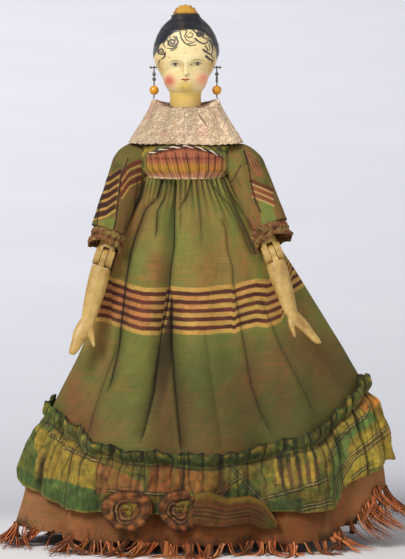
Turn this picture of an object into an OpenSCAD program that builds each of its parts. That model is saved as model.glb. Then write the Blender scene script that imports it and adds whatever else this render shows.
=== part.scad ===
// Jointed wooden doll of the pegged kind, 275 mm tall, in a high-waisted dress.
// The doll stands on the floor at z = 0, faces -Y, and its left hand is towards +X.
// Left and right are the doll's own.

/* [Head] */
// Height of the head from the chin to the crown
head_h = 41; // [36:0.5:46]
// Radius of the face at the cheeks
cheek_r = 12; // [11:0.1:13]
// Radius of the painted cap of hair at its widest
hair_r = 16.4; // [15.6:0.1:17]
// How far the middle of the hair lies behind the middle of the face
hair_set_back = 3.2; // [2.6:0.1:3.6]
// Radius of the neck
neck_r = 7.9; // [7:0.1:8.4]
// How far the nose stands out from the face
nose_out = 1.5; // [0.8:0.1:2]
// Width of the tuck comb across its crest
comb_w = 12.6; // [10:0.1:14]
// Thickness of the tuck comb
comb_t = 3; // [2:0.1:4]
// Width of the comb's carved rail, where it meets the hair
comb_rail_w = 14.4; // [13.4:0.1:15.6]
// Height of the comb's rail
comb_rail_h = 1.5; // [1:0.1:2]
// Depth of the comb's tang in the crown
comb_tang_l = 4; // [2.5:0.1:6]

/* [Torso] */
// Height of the hip dowel above the floor
hip_z = 127; // [122:0.5:132]
// Height of the shoulder dowel above the hip dowel
torso_h = 70; // [66:0.5:74]
// Height of the chin above the shoulder dowel
chin_rise = 30.5; // [29:0.1:33]
// Distance of each flat shoulder end from the middle
shoulder_half = 19.5; // [18.5:0.1:20]
// Distance of each flat end of the hip block from the middle
pelvis_half = 14; // [13:0.1:15]
// Radius of the rounded hip block, round the hip dowel
pelvis_r = 7; // [6.4:0.1:7.6]
// Depth of the torso from front to back as a share of its width
torso_depth_share = 0.56; // [0.5:0.01:0.58]

/* [Arms] */
// Distance of each arm's middle from the doll's middle at the shoulder
arm_x = 24.5; // [24:0.1:25]
// Radius of the upper arm's rounded head
arm_head_r = 4.9; // [4.4:0.1:5]
// Radius of the upper arm below its head
arm_r = 4.2; // [3.8:0.1:4.4]
// Radius of the elbow's knuckle
elbow_r = 4.7; // [4.3:0.1:5]
// Width of the elbow across its cheeks
elbow_w = 9.6; // [9:0.1:10.4]
// Length of the upper arm from the shoulder dowel to the elbow peg
upper_arm_l = 53.5; // [52:0.5:57]
// Length of the forearm and hand from the elbow peg to the fingertips
forearm_l = 52; // [48:0.5:56]
// Outward lean of the left upper arm, in degrees
left_splay = 21.4; // [19:0.1:23]
// Outward lean of the right upper arm, in degrees
right_splay = 18.3; // [17:0.1:20]
// Outward lean of the left forearm, in degrees
left_fore_splay = 17; // [15:0.1:20]
// Outward lean of the right forearm, in degrees
right_fore_splay = 14; // [13:0.1:18]
// Forward lean of the left arm as it hangs, in degrees
left_swing = 21; // [20:0.5:26]
// Forward lean of the right arm as it hangs, in degrees
right_swing = 14; // [13:0.5:19]
// Turn of the left hand about its forearm, in degrees
left_hand_roll = 38; // [20:1:60]
// Turn of the right hand about its forearm, in degrees
right_hand_roll = 6; // [0:1:30]
// Extra outward bend of the left hand at the wrist, in degrees
left_hand_cant = 14; // [0:1:18]
// Extra outward bend of the right hand at the wrist, in degrees
right_hand_cant = 1; // [0:1:12]

/* [Legs] */
// Distance of each leg's middle from the doll's middle
leg_x = 8; // [7.6:0.1:8.4]
// Radius of the thigh at its top
thigh_r = 5.8; // [5.2:0.1:6.2]
// Radius of the knee's knuckle
knee_r = 4.9; // [4.6:0.1:5.2]
// Width of the knee across its cheeks
knee_w = 9.8; // [9.2:0.1:10.4]
// Length of the thigh from the hip dowel to the knee peg
thigh_l = 61; // [58:0.5:64]
// Radius of the calf
calf_r = 5.1; // [4.7:0.1:5.4]
// Radius of the ankle
ankle_r = 3; // [2.6:0.1:3.4]
// Length of the slipper from heel to toe
slipper_l = 18; // [15:0.5:21]
// Width of the slipper
slipper_w = 6.4; // [5.6:0.1:7]
// Height of the slipper at its toe
slipper_h = 4; // [3.4:0.1:5]
// Space under the soles, as the stiff skirts carry the doll
sole_gap = 0.6; // [0.4:0.1:1]

/* [Pegs and fits] */
// Radius of the shoulder and hip dowels
dowel_r = 1.6; // [1.3:0.1:1.8]
// Radius of the elbow and knee pegs
peg_r = 1.1; // [0.9:0.1:1.3]
// Clearance between a turning bore and its peg
peg_fit = 0.05; // [0.03:0.01:0.08]
// Width of the elbow and knee grooves
groove_w = 3.4; // [3:0.1:3.8]
// Width of the hip grooves
hip_groove_w = 4.6; // [4.2:0.1:5]
// Clearance on each side of a tongue in its groove
tongue_gap = 0.2; // [0.15:0.01:0.25]
// Clearance between a shoulder and the rounded end that turns under it
turn_gap = 0.5; // [0.4:0.05:0.7]

/* [Earrings] */
// Radius of the brass wire
wire_r = 0.3; // [0.25:0.01:0.35]
// Height of the ear pins above the chin
ear_rise = 15.6; // [15:0.1:16.4]
// Distance of the hanging wires from the doll's middle
earring_x = 15.9; // [15.7:0.05:16.2]
// Radius of the wire's loop
loop_r = 1.1; // [1:0.01:1.2]
// Length of each hanging wire below its pin
earring_l = 16.4; // [15.8:0.1:16.6]
// Radius of the amber beads
amber_r = 2.4; // [2.1:0.1:2.5]
// Radius of the glass beads
glass_r = 1; // [0.8:0.05:1.1]
// Length of the left earring's dark bugle bead
bugle_l = 2.8; // [2:0.1:3]

/* [Dress] */
// Thickness of the cloth layers
cloth_t = 0.8; // [0.7:0.02:0.9]
// Space between one layer of cloth and the next
layer_gap = 0.45; // [0.4:0.01:0.5]
// Drop of the waist seam below the shoulder dowel
waist_drop = 9; // [8.6:0.1:10]
// Height of the bodice's top edge above the shoulder dowel, at the middle of the front
bodice_rise = 6.9; // [6.4:0.1:7]
// Depth of the bodice's gathered pleats
pleat_d = 0.9; // [0.6:0.05:1]
// Number of the bodice's pleats
pleat_count = 26; // [20:2:28]
// Radius of the twisted cord round the bodice
cord_r = 0.7; // [0.6:0.05:0.8]
// Height of the collar's lower edge above the shoulder dowel
collar_low = 7.4; // [7.4:0.1:7.8]
// Half width of the collar's lower edge
collar_half = 29; // [27.5:0.5:30]
// Half depth of the collar's lower edge
collar_depth = 14.5; // [14:0.1:15.5]
// Height of the lace collar
collar_h = 20; // [19:0.1:20.6]
// Width of the left sleeve
left_sleeve_w = 19.4; // [18:0.1:20]
// Width of the right sleeve
right_sleeve_w = 16.8; // [16:0.1:18]
// Depth of the sleeves from front to back
sleeve_d = 13; // [12.6:0.1:14]
// Bare length of the upper arm between the cuff and the elbow pin
bare_l = 5.45; // [5:0.05:7]
// Height of the gathered cuffs
cuff_h = 8; // [7:0.1:8.5]
// Depth of the cuffs' ruffles
ruffle_d = 0.9; // [0.6:0.05:1]
// Number of ruffles round a cuff
ruffle_count = 10; // [8:1:10]

/* [Skirt] */
// Half width of the petticoat's hem on the doll's left
hem_left = 105; // [98:0.5:110]
// Half width of the petticoat's hem on the doll's right
hem_right = 88; // [82:0.5:94]
// Half depth of the petticoat's hem
hem_depth = 50; // [47:0.5:56]
// Depth of the skirt's waves at the hem
fold_d = 3.2; // [2:0.1:3.6]
// Depth of the three deep pleats
deep_pleat_d = 5; // [3:0.1:5.4]
// Height of the flounce's top edge at the front and back
flounce_top_z = 52; // [46:0.5:56]
// Rise of the flounce's top edge towards the left side
flounce_rise_left = 35; // [28:0.5:38]
// Rise of the flounce's top edge towards the right side
flounce_rise_right = 23; // [18:0.5:30]
// Height of the flounce's lower edge at the front and back
flounce_low_z = 23; // [19:0.5:26]
// Rise of the flounce's lower edge at the sides
flounce_low_rise = 18; // [12:0.5:22]
// Depth of the flounce's gathers
gather_d = 2.6; // [1.6:0.1:3]
// Number of the flounce's gathers
gather_count = 22; // [18:1:24]
// Radius of the outer rosette
outer_rosette_r = 12; // [10:0.1:12.4]
// Radius of the inner rosette
inner_rosette_r = 10.8; // [9:0.1:11.4]
// Thickness of the rolled cloth in the rosettes
roll_t = 1.8; // [1.4:0.1:2]
// Height of the rosettes' middles above the floor
rosette_z = 23.5; // [22:0.5:25]
// Width of the ribbon streamer
ribbon_w = 11; // [9:0.5:12]
// Length of the ribbon streamer across the front
ribbon_l = 39; // [34:1:44]

/* [Hidden] */
$fn = 64;

left = 1;
right = -1;
cut = 2 * head_h;
shoulder_z = hip_z + torso_h;
chin_z = shoulder_z + chin_rise;
crown_z = chin_z + head_h;
waist_z = shoulder_z - waist_drop;
knee_z = hip_z - thigh_l;
tongue_t = groove_w - 2 * tongue_gap;
hip_tongue_t = hip_groove_w - 2 * tongue_gap;
hair_colour = [0.13, 0.15, 0.19];
gesso = [0.91, 0.85, 0.62];
bare_wood = [0.72, 0.56, 0.36];
olive = [0.47, 0.45, 0.25];
salmon = [0.72, 0.44, 0.33];

// A smooth curve through chosen points, with a number of steps between each two
function curve_point(p, i, t) =
    let (a = p[max(i - 1, 0)], b = p[i], c = p[i + 1], d = p[min(i + 2, len(p) - 1)])
    (2 * b + (c - a) * t + (2 * a - 5 * b + 4 * c - d) * t * t
        + (3 * b - a - 3 * c + d) * t * t * t) / 2;
function curve(p, steps) = [
    for (i = [0:len(p) - 2]) for (s = [0:steps - 1]) curve_point(p, i, s / steps),
    p[len(p) - 1]];

// Points on the arc of a circle in a profile
function arc(centre, r, from, to, steps) = [
    for (s = [0:steps]) let (a = from + (to - from) * s / steps)
        centre + r * [cos(a), sin(a)]];

// The triangles that join rings of points, each ring to the next and, if closed, the last to the first.
// From the turn on they are cut along the other diagonal, so both sides of a cloth are cut alike.
function ring_faces(rings, sides, closed, turn) = [
    for (k = [0:rings - (closed ? 1 : 2)]) for (i = [0:sides - 1])
        let (j = (i + 1) % sides, a = k * sides, b = ((k + 1) % rings) * sides)
        each k < turn ? [[a + i, a + j, b + j], [a + i, b + j, b + i]]
            : [[a + i, a + j, b + i], [a + j, b + j, b + i]]];

function flat_list(rings) = [for (r = rings) each r];

// A solid through rings of points, closed by a flat cap at each end
module loft(rings) {
    sides = len(rings[0]);
    count = len(rings);
    polyhedron(flat_list(rings), concat(
        [[for (i = [sides - 1:-1:0]) i]],
        ring_faces(count, sides, false, count),
        [[for (i = [0:sides - 1]) (count - 1) * sides + i]]));
}

// A wall of cloth: its outer rings run down, and its inner rings run back up
module cloth_wall(outer, inner) {
    back = [for (k = [len(inner) - 1:-1:0]) inner[k]];
    rings = concat(outer, back);
    polyhedron(flat_list(rings), ring_faces(len(rings), len(rings[0]), true, len(outer)));
}

// A rod across the doll, along X
module across(r, l) {
    rotate([0, 90, 0]) cylinder(r = r, h = l, center = true);
}

// Head and torso, turned and carved from one length of wood

// Shares of the head's height and of the hair's radius, up the side of the hair
hair_shares = [[0.2, 0.5], [0.25, 0.72], [0.32, 0.82], [0.4, 0.92], [0.48, 0.985], [0.55, 1],
    [0.66, 0.965], [0.77, 0.87], [0.87, 0.73], [0.95, 0.5], [0.985, 0.26], [1, 0]];
// Shares of the head's height and of the cheeks' radius, up the side of the face
face_shares = [[0, 0.67], [0.05, 0.7], [0.09, 0.74], [0.17, 0.89], [0.26, 0.98], [0.36, 1.02], [0.55, 1.07],
    [0.7, 0.98], [0.82, 0.72], [0.88, 0]];
// Shares of the torso's height above the hip dowel and of the shoulder's half width
torso_shares = [[0, 0.72], [0.1, 0.77], [0.24, 0.68], [0.45, 0.52], [0.66, 0.62], [0.86, 0.79],
    [0.92, 0.93], [0.96, 1.05], [1.04, 1.07], [1.09, 1], [1.17, 0.7], [1.23, 0.42]];

module head_and_torso() {
    color(gesso) difference() {
        union() {
            translate([0, 0, chin_z]) {
                rotate_extrude() polygon(concat([[0, 0]],
                    curve([for (s = face_shares) [s[1] * cheek_r, s[0] * head_h]], 2)));
                nose();
            }
            translate([0, 0, shoulder_z]) cylinder(r = neck_r, h = chin_rise + head_h / 4);
            scale([1, torso_depth_share, 1]) translate([0, 0, hip_z]) rotate_extrude()
                polygon(concat([[0, 0]],
                    curve([for (s = torso_shares) [s[1] * shoulder_half, s[0] * torso_h]], 2),
                    [[0, torso_shares[len(torso_shares) - 1][0] * torso_h]]));
            translate([0, 0, hip_z]) across(pelvis_r, 2 * pelvis_half);
            hair();
        }
        for (side = [left, right]) {
            translate([side * (shoulder_half + cut / 2), 0, shoulder_z]) cube(cut, center = true);
            translate([side * leg_x - hip_groove_w / 2, -cut / 2, hip_z - cut])
                cube([hip_groove_w, cut, cut + hip_tongue_r + turn_gap]);
            ear_pin_rod(side);
        }
        translate([0, 0, shoulder_z]) across(dowel_r, cut);
        translate([0, 0, hip_z]) across(dowel_r, cut);
        comb_tang();
    }
}

// The cap of painted hair, set back from the face
module hair() {
    low = hair_shares[0][0] * head_h;
    translate([0, hair_set_back, chin_z]) rotate_extrude() polygon(concat([[0, low]],
        curve([for (s = hair_shares) [s[1] * hair_r, s[0] * head_h]], 2)));
}

nose_w = 2.6;
nose_bridge_share = 0.47;
nose_tip_share = 0.3;

module nose() {
    tip = nose_w / 2;
    hull() {
        translate([0, -cheek_r - nose_out + tip, nose_tip_share * head_h]) sphere(tip, $fn = 24);
        translate([0, -cheek_r, nose_bridge_share * head_h]) sphere(tip / 2, $fn = 24);
        translate([0, -cheek_r + tip, nose_tip_share * head_h]) sphere(tip, $fn = 24);
    }
}

// Tuck comb, a little crest of wood let into the crown

comb_tang_w = comb_w / 2;
comb_tang_t = comb_t / 2;
comb_seat_z = crown_z - comb_rail_h / 3;
comb_y = hair_set_back;
comb_crest_h = 5.4;

module comb_tang() {
    translate([-comb_tang_w / 2, comb_y - comb_tang_t / 2, comb_seat_z - comb_tang_l])
        cube([comb_tang_w, comb_tang_t, 2 * comb_tang_l]);
    translate([0, comb_y, comb_seat_z]) linear_extrude(cut) comb_rail_outline();
}

module comb_rail_outline() {
    end = comb_t * 0.8;
    for (side = [left, right]) translate([side * (comb_rail_w / 2 - end), 0]) circle(end);
    square([comb_rail_w - 2 * end, 2 * end], center = true);
}

module tuck_comb() {
    color([0.78, 0.58, 0.2]) {
        intersection() {
            comb_tang();
            translate([0, comb_y, comb_seat_z - comb_tang_l]) linear_extrude(comb_tang_l + comb_rail_h)
                comb_rail_outline();
        }
        translate([0, comb_y + comb_t / 2, comb_seat_z + comb_rail_h]) rotate([90, 0, 0])
            linear_extrude(comb_t) comb_crest_outline();
    }
}

// A round crest, scalloped along its edge as such combs are
module comb_crest_outline() {
    bumps = 7;
    r = comb_w / 2;
    bump_r = r * PI / bumps / 2;
    intersection() {
        scale([1, comb_crest_h / r]) union() {
            circle(r - bump_r / 2);
            for (i = [0:bumps - 1]) rotate((i + 1 / 2) * 180 / bumps)
                translate([r - bump_r, 0]) circle(bump_r, $fn = 24);
        }
        translate([-r, 0]) square([2 * r, r]);
    }
}

// Dowels and pegs, which the limbs turn on

shoulder_dowel_l = 2 * arm_x + arm_head_r;
elbow_peg_l = elbow_w - tongue_gap;
knee_peg_l = knee_w - tongue_gap;

module shoulder_dowel() {
    color(bare_wood) translate([0, 0, shoulder_z]) across(dowel_r, shoulder_dowel_l);
}

module hip_dowel() {
    color(bare_wood) translate([0, 0, hip_z]) across(dowel_r, 2 * pelvis_half);
}

// Places of the arms: each hangs from the shoulder dowel, leans forward and leans outward
module at_shoulder(side) {
    swing = side == left ? left_swing : right_swing;
    translate([side * arm_x, 0, shoulder_z]) rotate([-swing, 0, 0]) children();
}

module along_upper_arm(side) {
    splay = side == left ? left_splay : right_splay;
    at_shoulder(side) rotate([0, -side * splay, 0]) children();
}

module at_elbow(side) {
    along_upper_arm(side) translate([0, 0, -upper_arm_l]) children();
}

// Upper arm: a rounded head on the shoulder dowel, a tapered shaft and a grooved elbow

arm_head_w = 2 * (arm_x - shoulder_half - tongue_gap);
elbow_tongue_r = elbow_r - tongue_gap;

module upper_arm(side) {
    color(gesso) difference() {
        union() {
            at_shoulder(side) rotate([0, side * 90, 0]) rotate_extrude() polygon(concat(
                [[0, -arm_head_w / 2], [arm_head_r, -arm_head_w / 2]],
                arc([arm_head_r / 2, arm_head_w / 2 - arm_head_r / 2], arm_head_r / 2, 0, 90, 6),
                [[0, arm_head_w / 2]]));
            at_elbow(side) {
                cylinder(r1 = elbow_r - tongue_gap, r2 = arm_r, h = upper_arm_l);
                across(elbow_r, elbow_w);
            }
        }
        at_shoulder(side) across(dowel_r + peg_fit, cut);
        at_elbow(side) {
            across(peg_r, cut);
            translate([-groove_w / 2, -cut / 2, -cut])
                cube([groove_w, cut, cut + elbow_tongue_r + turn_gap]);
        }
    }
}

module elbow_peg(side) {
    color(bare_wood) at_elbow(side) across(peg_r, elbow_peg_l);
}

// Forearm and hand: a tongue for the elbow, a shaft that flattens into a spoon hand, and a thumb

wrist_share = 0.62;
finger_lean = 10;
thumb_lean = 25;
thumb_l = 13.4;
thumb_r = 1.5;
thumb_tip_r = 0.8;
// Shares along the forearm, and half its width and half its thickness as shares of the elbow's radius
forearm_shares = [[0, 0.96, 0.96], [0.16, 1.1, 0.98], [0.34, 1.06, 0.88], [0.5, 0.92, 0.72],
    [0.62, 0.78, 0.56], [0.7, 0.9, 0.48], [0.78, 0.94, 0.44], [0.86, 0.68, 0.4],
    [0.95, 0.52, 0.34], [0.99, 0.38, 0.26], [1, 0.22, 0.16]];
hand_sides = 20;

module forearm(side) {
    splay = side == left ? left_fore_splay - left_splay : right_fore_splay - right_splay;
    roll = side == left ? left_hand_roll : right_hand_roll;
    cant = side == left ? left_hand_cant : right_hand_cant;
    shoulder_l = elbow_r + turn_gap;
    color(gesso) at_elbow(side) difference() {
        union() {
            difference() {
                rotate([0, -side * splay, 0]) {
                    loft([for (s = forearm_shares) hand_ring(s, side, roll, cant)]);
                    thumb(side, roll, cant);
                }
                translate([-cut / 2, -cut / 2, -shoulder_l]) cube(cut);
            }
            across(elbow_tongue_r, tongue_t);
            tongue_web(tongue_t, elbow_tongue_r, shoulder_l);
        }
        across(peg_r + peg_fit, cut);
    }
}

// The part of a tongue that runs from its rounded end into the limb below
module tongue_web(t, r, l) {
    web_w = 1.5 * r;
    translate([-t / 2, -web_w / 2, -l - turn_gap]) cube([t, web_w, l + turn_gap]);
}

// One ring of the forearm and hand, turned a little more the nearer it is to the fingers
function hand_ring(s, side, roll, cant) =
    let (past = max(0, s[0] - wrist_share) * forearm_l,
        out = side * past * tan(finger_lean + cant),
        turn = side * roll * min(1, s[0] / wrist_share))
    [for (i = [0:hand_sides - 1]) let (a = 360 * i / hand_sides,
        x = s[1] * elbow_r * cos(a), y = s[2] * elbow_r * sin(a))
        [x * cos(turn) - y * sin(turn) + out, x * sin(turn) + y * cos(turn), -s[0] * forearm_l]];

module thumb(side, roll, cant) {
    translate([0, 0, -wrist_share * forearm_l]) rotate([0, 0, side * roll]) hull() {
        translate([-side * elbow_r / 3, 0, -thumb_r]) sphere(thumb_r, $fn = 20);
        translate([-side * elbow_r / 2, 0, -thumb_l / 2]) sphere(thumb_r, $fn = 20);
        translate([-side * thumb_l * tan(thumb_lean - cant), 0, thumb_tip_r - thumb_l])
            sphere(thumb_tip_r, $fn = 20);
    }
}

// Legs: a tongue on the hip dowel, a turned thigh, a grooved knee, and a lower leg with a slipper

hip_tongue_r = pelvis_r - 2 * tongue_gap;
knee_tongue_r = knee_r - tongue_gap;
thigh_top_l = pelvis_r + turn_gap;
lower_leg_l = knee_z - sole_gap;

module thigh(side) {
    color(gesso) translate([side * leg_x, 0, hip_z]) difference() {
        union() {
            across(hip_tongue_r, hip_tongue_t);
            tongue_web(hip_tongue_t, hip_tongue_r, thigh_top_l);
            rotate_extrude() polygon(concat([[0, -thigh_l]],
                curve([[knee_r - tongue_gap, -thigh_l], [knee_r - tongue_gap, knee_r - thigh_l],
                    [thigh_r, -thigh_l / 3], [thigh_r, -thigh_top_l]], 3),
                [[0, -thigh_top_l]]));
            translate([0, 0, -thigh_l]) across(knee_r, knee_w);
        }
        across(dowel_r + peg_fit, cut);
        translate([0, 0, -thigh_l]) {
            across(peg_r, cut);
            translate([-groove_w / 2, -cut / 2, -cut])
                cube([groove_w, cut, cut + knee_tongue_r + turn_gap]);
        }
    }
}

module knee_peg(side) {
    color(bare_wood) translate([side * leg_x, 0, knee_z]) across(peg_r, knee_peg_l);
}

module lower_leg(side) {
    top = knee_r + turn_gap;
    heel_r = slipper_w / 2;
    color(gesso) translate([side * leg_x, 0, knee_z]) difference() {
        union() {
            across(knee_tongue_r, tongue_t);
            tongue_web(tongue_t, knee_tongue_r, top);
            rotate_extrude() polygon(concat([[0, -top]],
                curve([[knee_r - tongue_gap, -top], [calf_r, -lower_leg_l / 3],
                    [ankle_r, slipper_h - lower_leg_l + ankle_r],
                    [ankle_r, slipper_h / 2 - lower_leg_l]], 4),
                [[0, slipper_h / 2 - lower_leg_l]]));
            slipper(heel_r);
        }
        across(peg_r + peg_fit, cut);
        translate([-cut / 2, -cut / 2, -lower_leg_l - cut]) cube(cut);
    }
}

// A flat painted slipper with a pointed toe, carved with the leg
module slipper(heel_r) {
    toe_r = heel_r / 2;
    translate([0, 0, -lower_leg_l]) hull() {
        translate([0, heel_r / 3, 0]) cylinder(r = heel_r, h = slipper_h, $fn = 32);
        translate([0, heel_r / 3, slipper_h]) sphere(ankle_r, $fn = 24);
        translate([0, heel_r * 4 / 3 - slipper_l + toe_r, toe_r]) sphere(toe_r, $fn = 24);
        translate([0, heel_r - slipper_l / 2, 0]) cylinder(r = heel_r, h = slipper_h / 2, $fn = 32);
    }
}

// Earrings: a pin in the side of the head, and a wire with beads that hangs from it by a loop

ear_z = chin_z + ear_rise;
ear_y = hair_set_back / 3;
pin_in = hair_r / 4;
pin_out = loop_r + 2 * wire_r;
bead_fit = wire_r + peg_fit;
eye_drop = loop_r - 3 * wire_r - peg_fit;
amber_drop = 11.6;
glass_drop = 3.4;
tail_l = earring_l - amber_drop - amber_r;
tail_turn = 155;

module ear_pin_rod(side) {
    translate([side * (earring_x - pin_in + pin_out), ear_y, ear_z]) across(wire_r, 2 * pin_in);
}

module ear_pin(side) {
    color("goldenrod") {
        ear_pin_rod(side);
        translate([side * (earring_x + pin_out), ear_y, ear_z]) sphere(2 * wire_r, $fn = 24);
    }
}

module at_ear(side) {
    translate([side * earring_x, ear_y, ear_z]) children();
}

module earring_wire(side) {
    color("goldenrod") at_ear(side) {
        translate([0, 0, -eye_drop]) rotate([0, 90, 0]) rotate_extrude()
            translate([loop_r - wire_r, 0]) circle(wire_r);
        translate([0, 0, -amber_drop - amber_r - tail_l / 2])
            cylinder(r = wire_r, h = amber_drop + amber_r + tail_l / 2 - eye_drop - loop_r + wire_r);
        translate([0, 0, -amber_drop - amber_r - tail_l / 2 + wire_r])
            rotate([0, side * tail_turn, 0]) cylinder(r = 0.8 * wire_r, h = tail_l / 2);
    }
}

// Small glass beads: two on the right earring, one over a dark bugle bead on the left
module glass_beads(side) {
    color([0.55, 0.5, 0.45]) at_ear(side) {
        translate([0, 0, -glass_drop]) bead(glass_r);
        if (side == right) translate([0, 0, -glass_drop - 2.6 * glass_r]) bead(glass_r);
        else translate([0, 0, -glass_drop - 1.3 * glass_r - bugle_l]) difference() {
            cylinder(r = 0.6 * glass_r, h = bugle_l);
            cylinder(r = bead_fit, h = 3 * bugle_l, center = true);
        }
    }
}

module amber_bead(side) {
    color([0.93, 0.62, 0.1]) at_ear(side) translate([0, 0, -amber_drop]) bead(amber_r);
}

// A round bead with a hole for the wire
module bead(r) {
    difference() {
        sphere(r, $fn = 40);
        cylinder(r = bead_fit, h = 3 * r, center = true);
    }
}

// Cloth of the upper dress: rings round the torso, oval from above

// A ring of points with pleats or ruffles, at half widths a and b, moved out by o
function oval_ring(a, b, z, o, sides, depth, waves) = [
    for (i = [0:sides - 1]) let (q = 360 * i / sides,
        r = o + depth * (1 + cos(waves * q)) / 2)
        [(a + r) * cos(q), (b + r) * sin(q), is_list(z) ? z[i] : z]];

// Lace collar: a cape that stands from the shoulders to the chin and turns in to the neck

collar_sides = 40;
collar_fold_d = 1;
collar_folds = 10;
collar_top_shares = [0.57, 0.8];
collar_mid_shares = [0.76, 0.9];

module lace_collar() {
    low = shoulder_z + collar_low;
    high = low + collar_h;
    mid = low + collar_h / 2;
    neck = neck_r + layer_gap;
    a = collar_half - collar_fold_d;
    b = collar_depth - collar_fold_d;
    function ring(ka, kb, z, o) = oval_ring(ka * a, kb * b, z, o, collar_sides, collar_fold_d, collar_folds);
    color([0.87, 0.79, 0.7]) cloth_wall(
        [oval_ring(neck, neck, high - cloth_t, 0, collar_sides, 0, 1),
            ring(collar_top_shares[0], collar_top_shares[1], high, 0),
            ring(collar_mid_shares[0], collar_mid_shares[1], mid, 0), ring(1, 1, low, 0)],
        [oval_ring(neck, neck, high - 2 * cloth_t, 0, collar_sides, 0, 1),
            ring(collar_top_shares[0], collar_top_shares[1], high - cloth_t, -cloth_t),
            ring(collar_mid_shares[0], collar_mid_shares[1], mid, -cloth_t),
            ring(1, 1, low, -cloth_t)]);
}

// Bodice: fan pleats from the waist seam to the cord, open at the armholes

bodice_sides = 2 * pleat_count;
chest_half = shoulder_half * 1.07 + layer_gap;
bodice_waist_half = 17.2;
bodice_waist_depth = 10.6;
bodice_side_drop = 1;
cord_side_drop = 6;
armhole_r = arm_head_r + 3 * layer_gap + cloth_t;
chest_depth = chest_half * torso_depth_share + layer_gap;
bodice_mid_z = shoulder_z - waist_drop / 2;

// Height of the bodice's top edge, which dips towards the arms
function bodice_top(q) = shoulder_z + bodice_rise - bodice_side_drop * pow(abs(cos(q)), 2);

module bodice() {
    tops = [for (i = [0:bodice_sides - 1]) bodice_top(360 * i / bodice_sides)];
    function ring(a, b, z, o) = oval_ring(a, b, z, o, bodice_sides, pleat_d, pleat_count);
    color([0.6, 0.35, 0.22]) difference() {
        cloth_wall(
            [ring(chest_half, chest_depth, tops, cloth_t),
                ring(chest_half, chest_depth, bodice_mid_z, cloth_t),
                ring(bodice_waist_half, bodice_waist_depth, waist_z + layer_gap, cloth_t)],
            [ring(chest_half, chest_depth, tops, 0),
                ring(chest_half, chest_depth, bodice_mid_z, 0),
                ring(bodice_waist_half, bodice_waist_depth, waist_z + layer_gap, 0)]);
        translate([0, 0, shoulder_z]) across(armhole_r, cut);
    }
}

// Twisted cord along the top of the bodice's front, from armhole to armhole

cord_sides = 8;
cord_rings = 26;
cord_reach = 52;

function cord_point(q) =
    let (o = cloth_t + pleat_d + cord_r + layer_gap / 2, a = 270 + q)
    [(chest_half + o) * cos(a), (chest_depth + o) * sin(a),
        shoulder_z + bodice_rise - cord_r - cord_side_drop * pow(sin(q), 2)];

module bodice_cord() {
    color([0.3, 0.2, 0.18]) loft([for (k = [0:cord_rings - 1])
        let (q = cord_reach * (1 - 2 * k / (cord_rings - 1)), p = cord_point(q),
            d = cord_point(q - 1) - cord_point(q + 1), along = d / norm(d),
            out = cross(along, [0, 0, 1]), n = out / norm(out), up = cross(n, along))
        [for (i = [0:cord_sides - 1]) let (t = 360 * i / cord_sides)
            p + cord_r * (cos(t) * n + sin(t) * up)]]);
}

// Sleeves: each is set into its armhole, turns over the arm's head and hangs down the arm

sleeve_sides = 24;
sleeve_l = upper_arm_l - bare_l - cuff_h - layer_gap;
armpit_drop = 9.2;
armpit_x = shoulder_half + 1.4;
armhole_lean = 8;
sleeve_head_r = arm_head_r + layer_gap + cloth_t;
sleeve_inner = elbow_r + layer_gap + cloth_t;
turn_rings = 5;
sleeve_puff = 1.5;

// Rings in the frame of at_shoulder, fanned round the armpit from the armhole to the arm,
// then along the arm: each is its middle, its direction across, half its width and half its depth
function sleeve_rings(side, splay, width) =
    let (pit = [armpit_x - arm_x, -armpit_drop],
        high = (sleeve_head_r + armpit_drop) / cos(armhole_lean),
        out = [cos(splay), sin(splay)],
        down = [sin(splay), -cos(splay)],
        inner = -sleeve_inner - pit * out)
    concat(
        [for (k = [0:turn_rings]) let (t = k / turn_rings,
            q = armhole_lean + t * (90 - splay - armhole_lean),
            u = [sin(q), cos(q)], from = t * inner,
            to = high + (width + inner - high) * (1 - cos(90 * t)) + sleeve_puff * sin(180 * t),
            m = pit + u * (from + to) / 2)
            [[side * m[0], m[1]], [side * u[0], u[1]], (to - from) / 2,
                sleeve_head_r + t * (sleeve_d / 2 - sleeve_head_r)]],
        [for (t = [0.3, 0.65, 1]) let (slide = t * (sleeve_l + pit * down * -1),
            m = pit + out * (inner + width / 2) + down * slide)
            [[side * m[0], m[1]], [side * out[0], out[1]], width / 2, sleeve_d / 2]]);

function sleeve_ring(r, o, side) = [
    for (i = [0:sleeve_sides - 1]) let (q = side * 360 * i / sleeve_sides,
        s = (r[2] + o) * cos(q))
        [r[0][0] + r[1][0] * s, (r[3] + o) * sin(q), r[0][1] + r[1][1] * s]];

module sleeve(side) {
    splay = side == left ? left_splay : right_splay;
    rings = sleeve_rings(side, splay, side == left ? left_sleeve_w : right_sleeve_w);
    color(olive) at_shoulder(side) cloth_wall(
        [for (r = rings) sleeve_ring(r, 0, side)], [for (r = rings) sleeve_ring(r, -cloth_t, side)]);
}

// Cuffs: a ruffled band at the end of each sleeve

cuff_sides = 3 * ruffle_count;
cuff_waist_shares = [0.9, 1, 0.94];

cuff_d = sleeve_d + 3 * ruffle_d / 2;

module cuff(side) {
    width = side == left ? left_sleeve_w : right_sleeve_w;
    start = sleeve_l + layer_gap;
    rings = [for (k = [0:2]) [start + k * cuff_h / 2, cuff_waist_shares[k]]];
    function ring(r, o) =
        let (half = (r[1] * width - ruffle_d) / 2)
        [for (p = oval_ring(half, (cuff_d - ruffle_d) / 2, -r[0], o, cuff_sides, ruffle_d, ruffle_count))
            p + [side * (half - sleeve_inner), 0, 0]];
    color([0.45, 0.32, 0.2]) along_upper_arm(side) cloth_wall(
        [for (r = rings) ring(r, 0)], [for (r = rings) ring(r, -cloth_t)]);
}

// Skirt, flounce and petticoat: layers of one bell shape, wide and shallow

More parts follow.
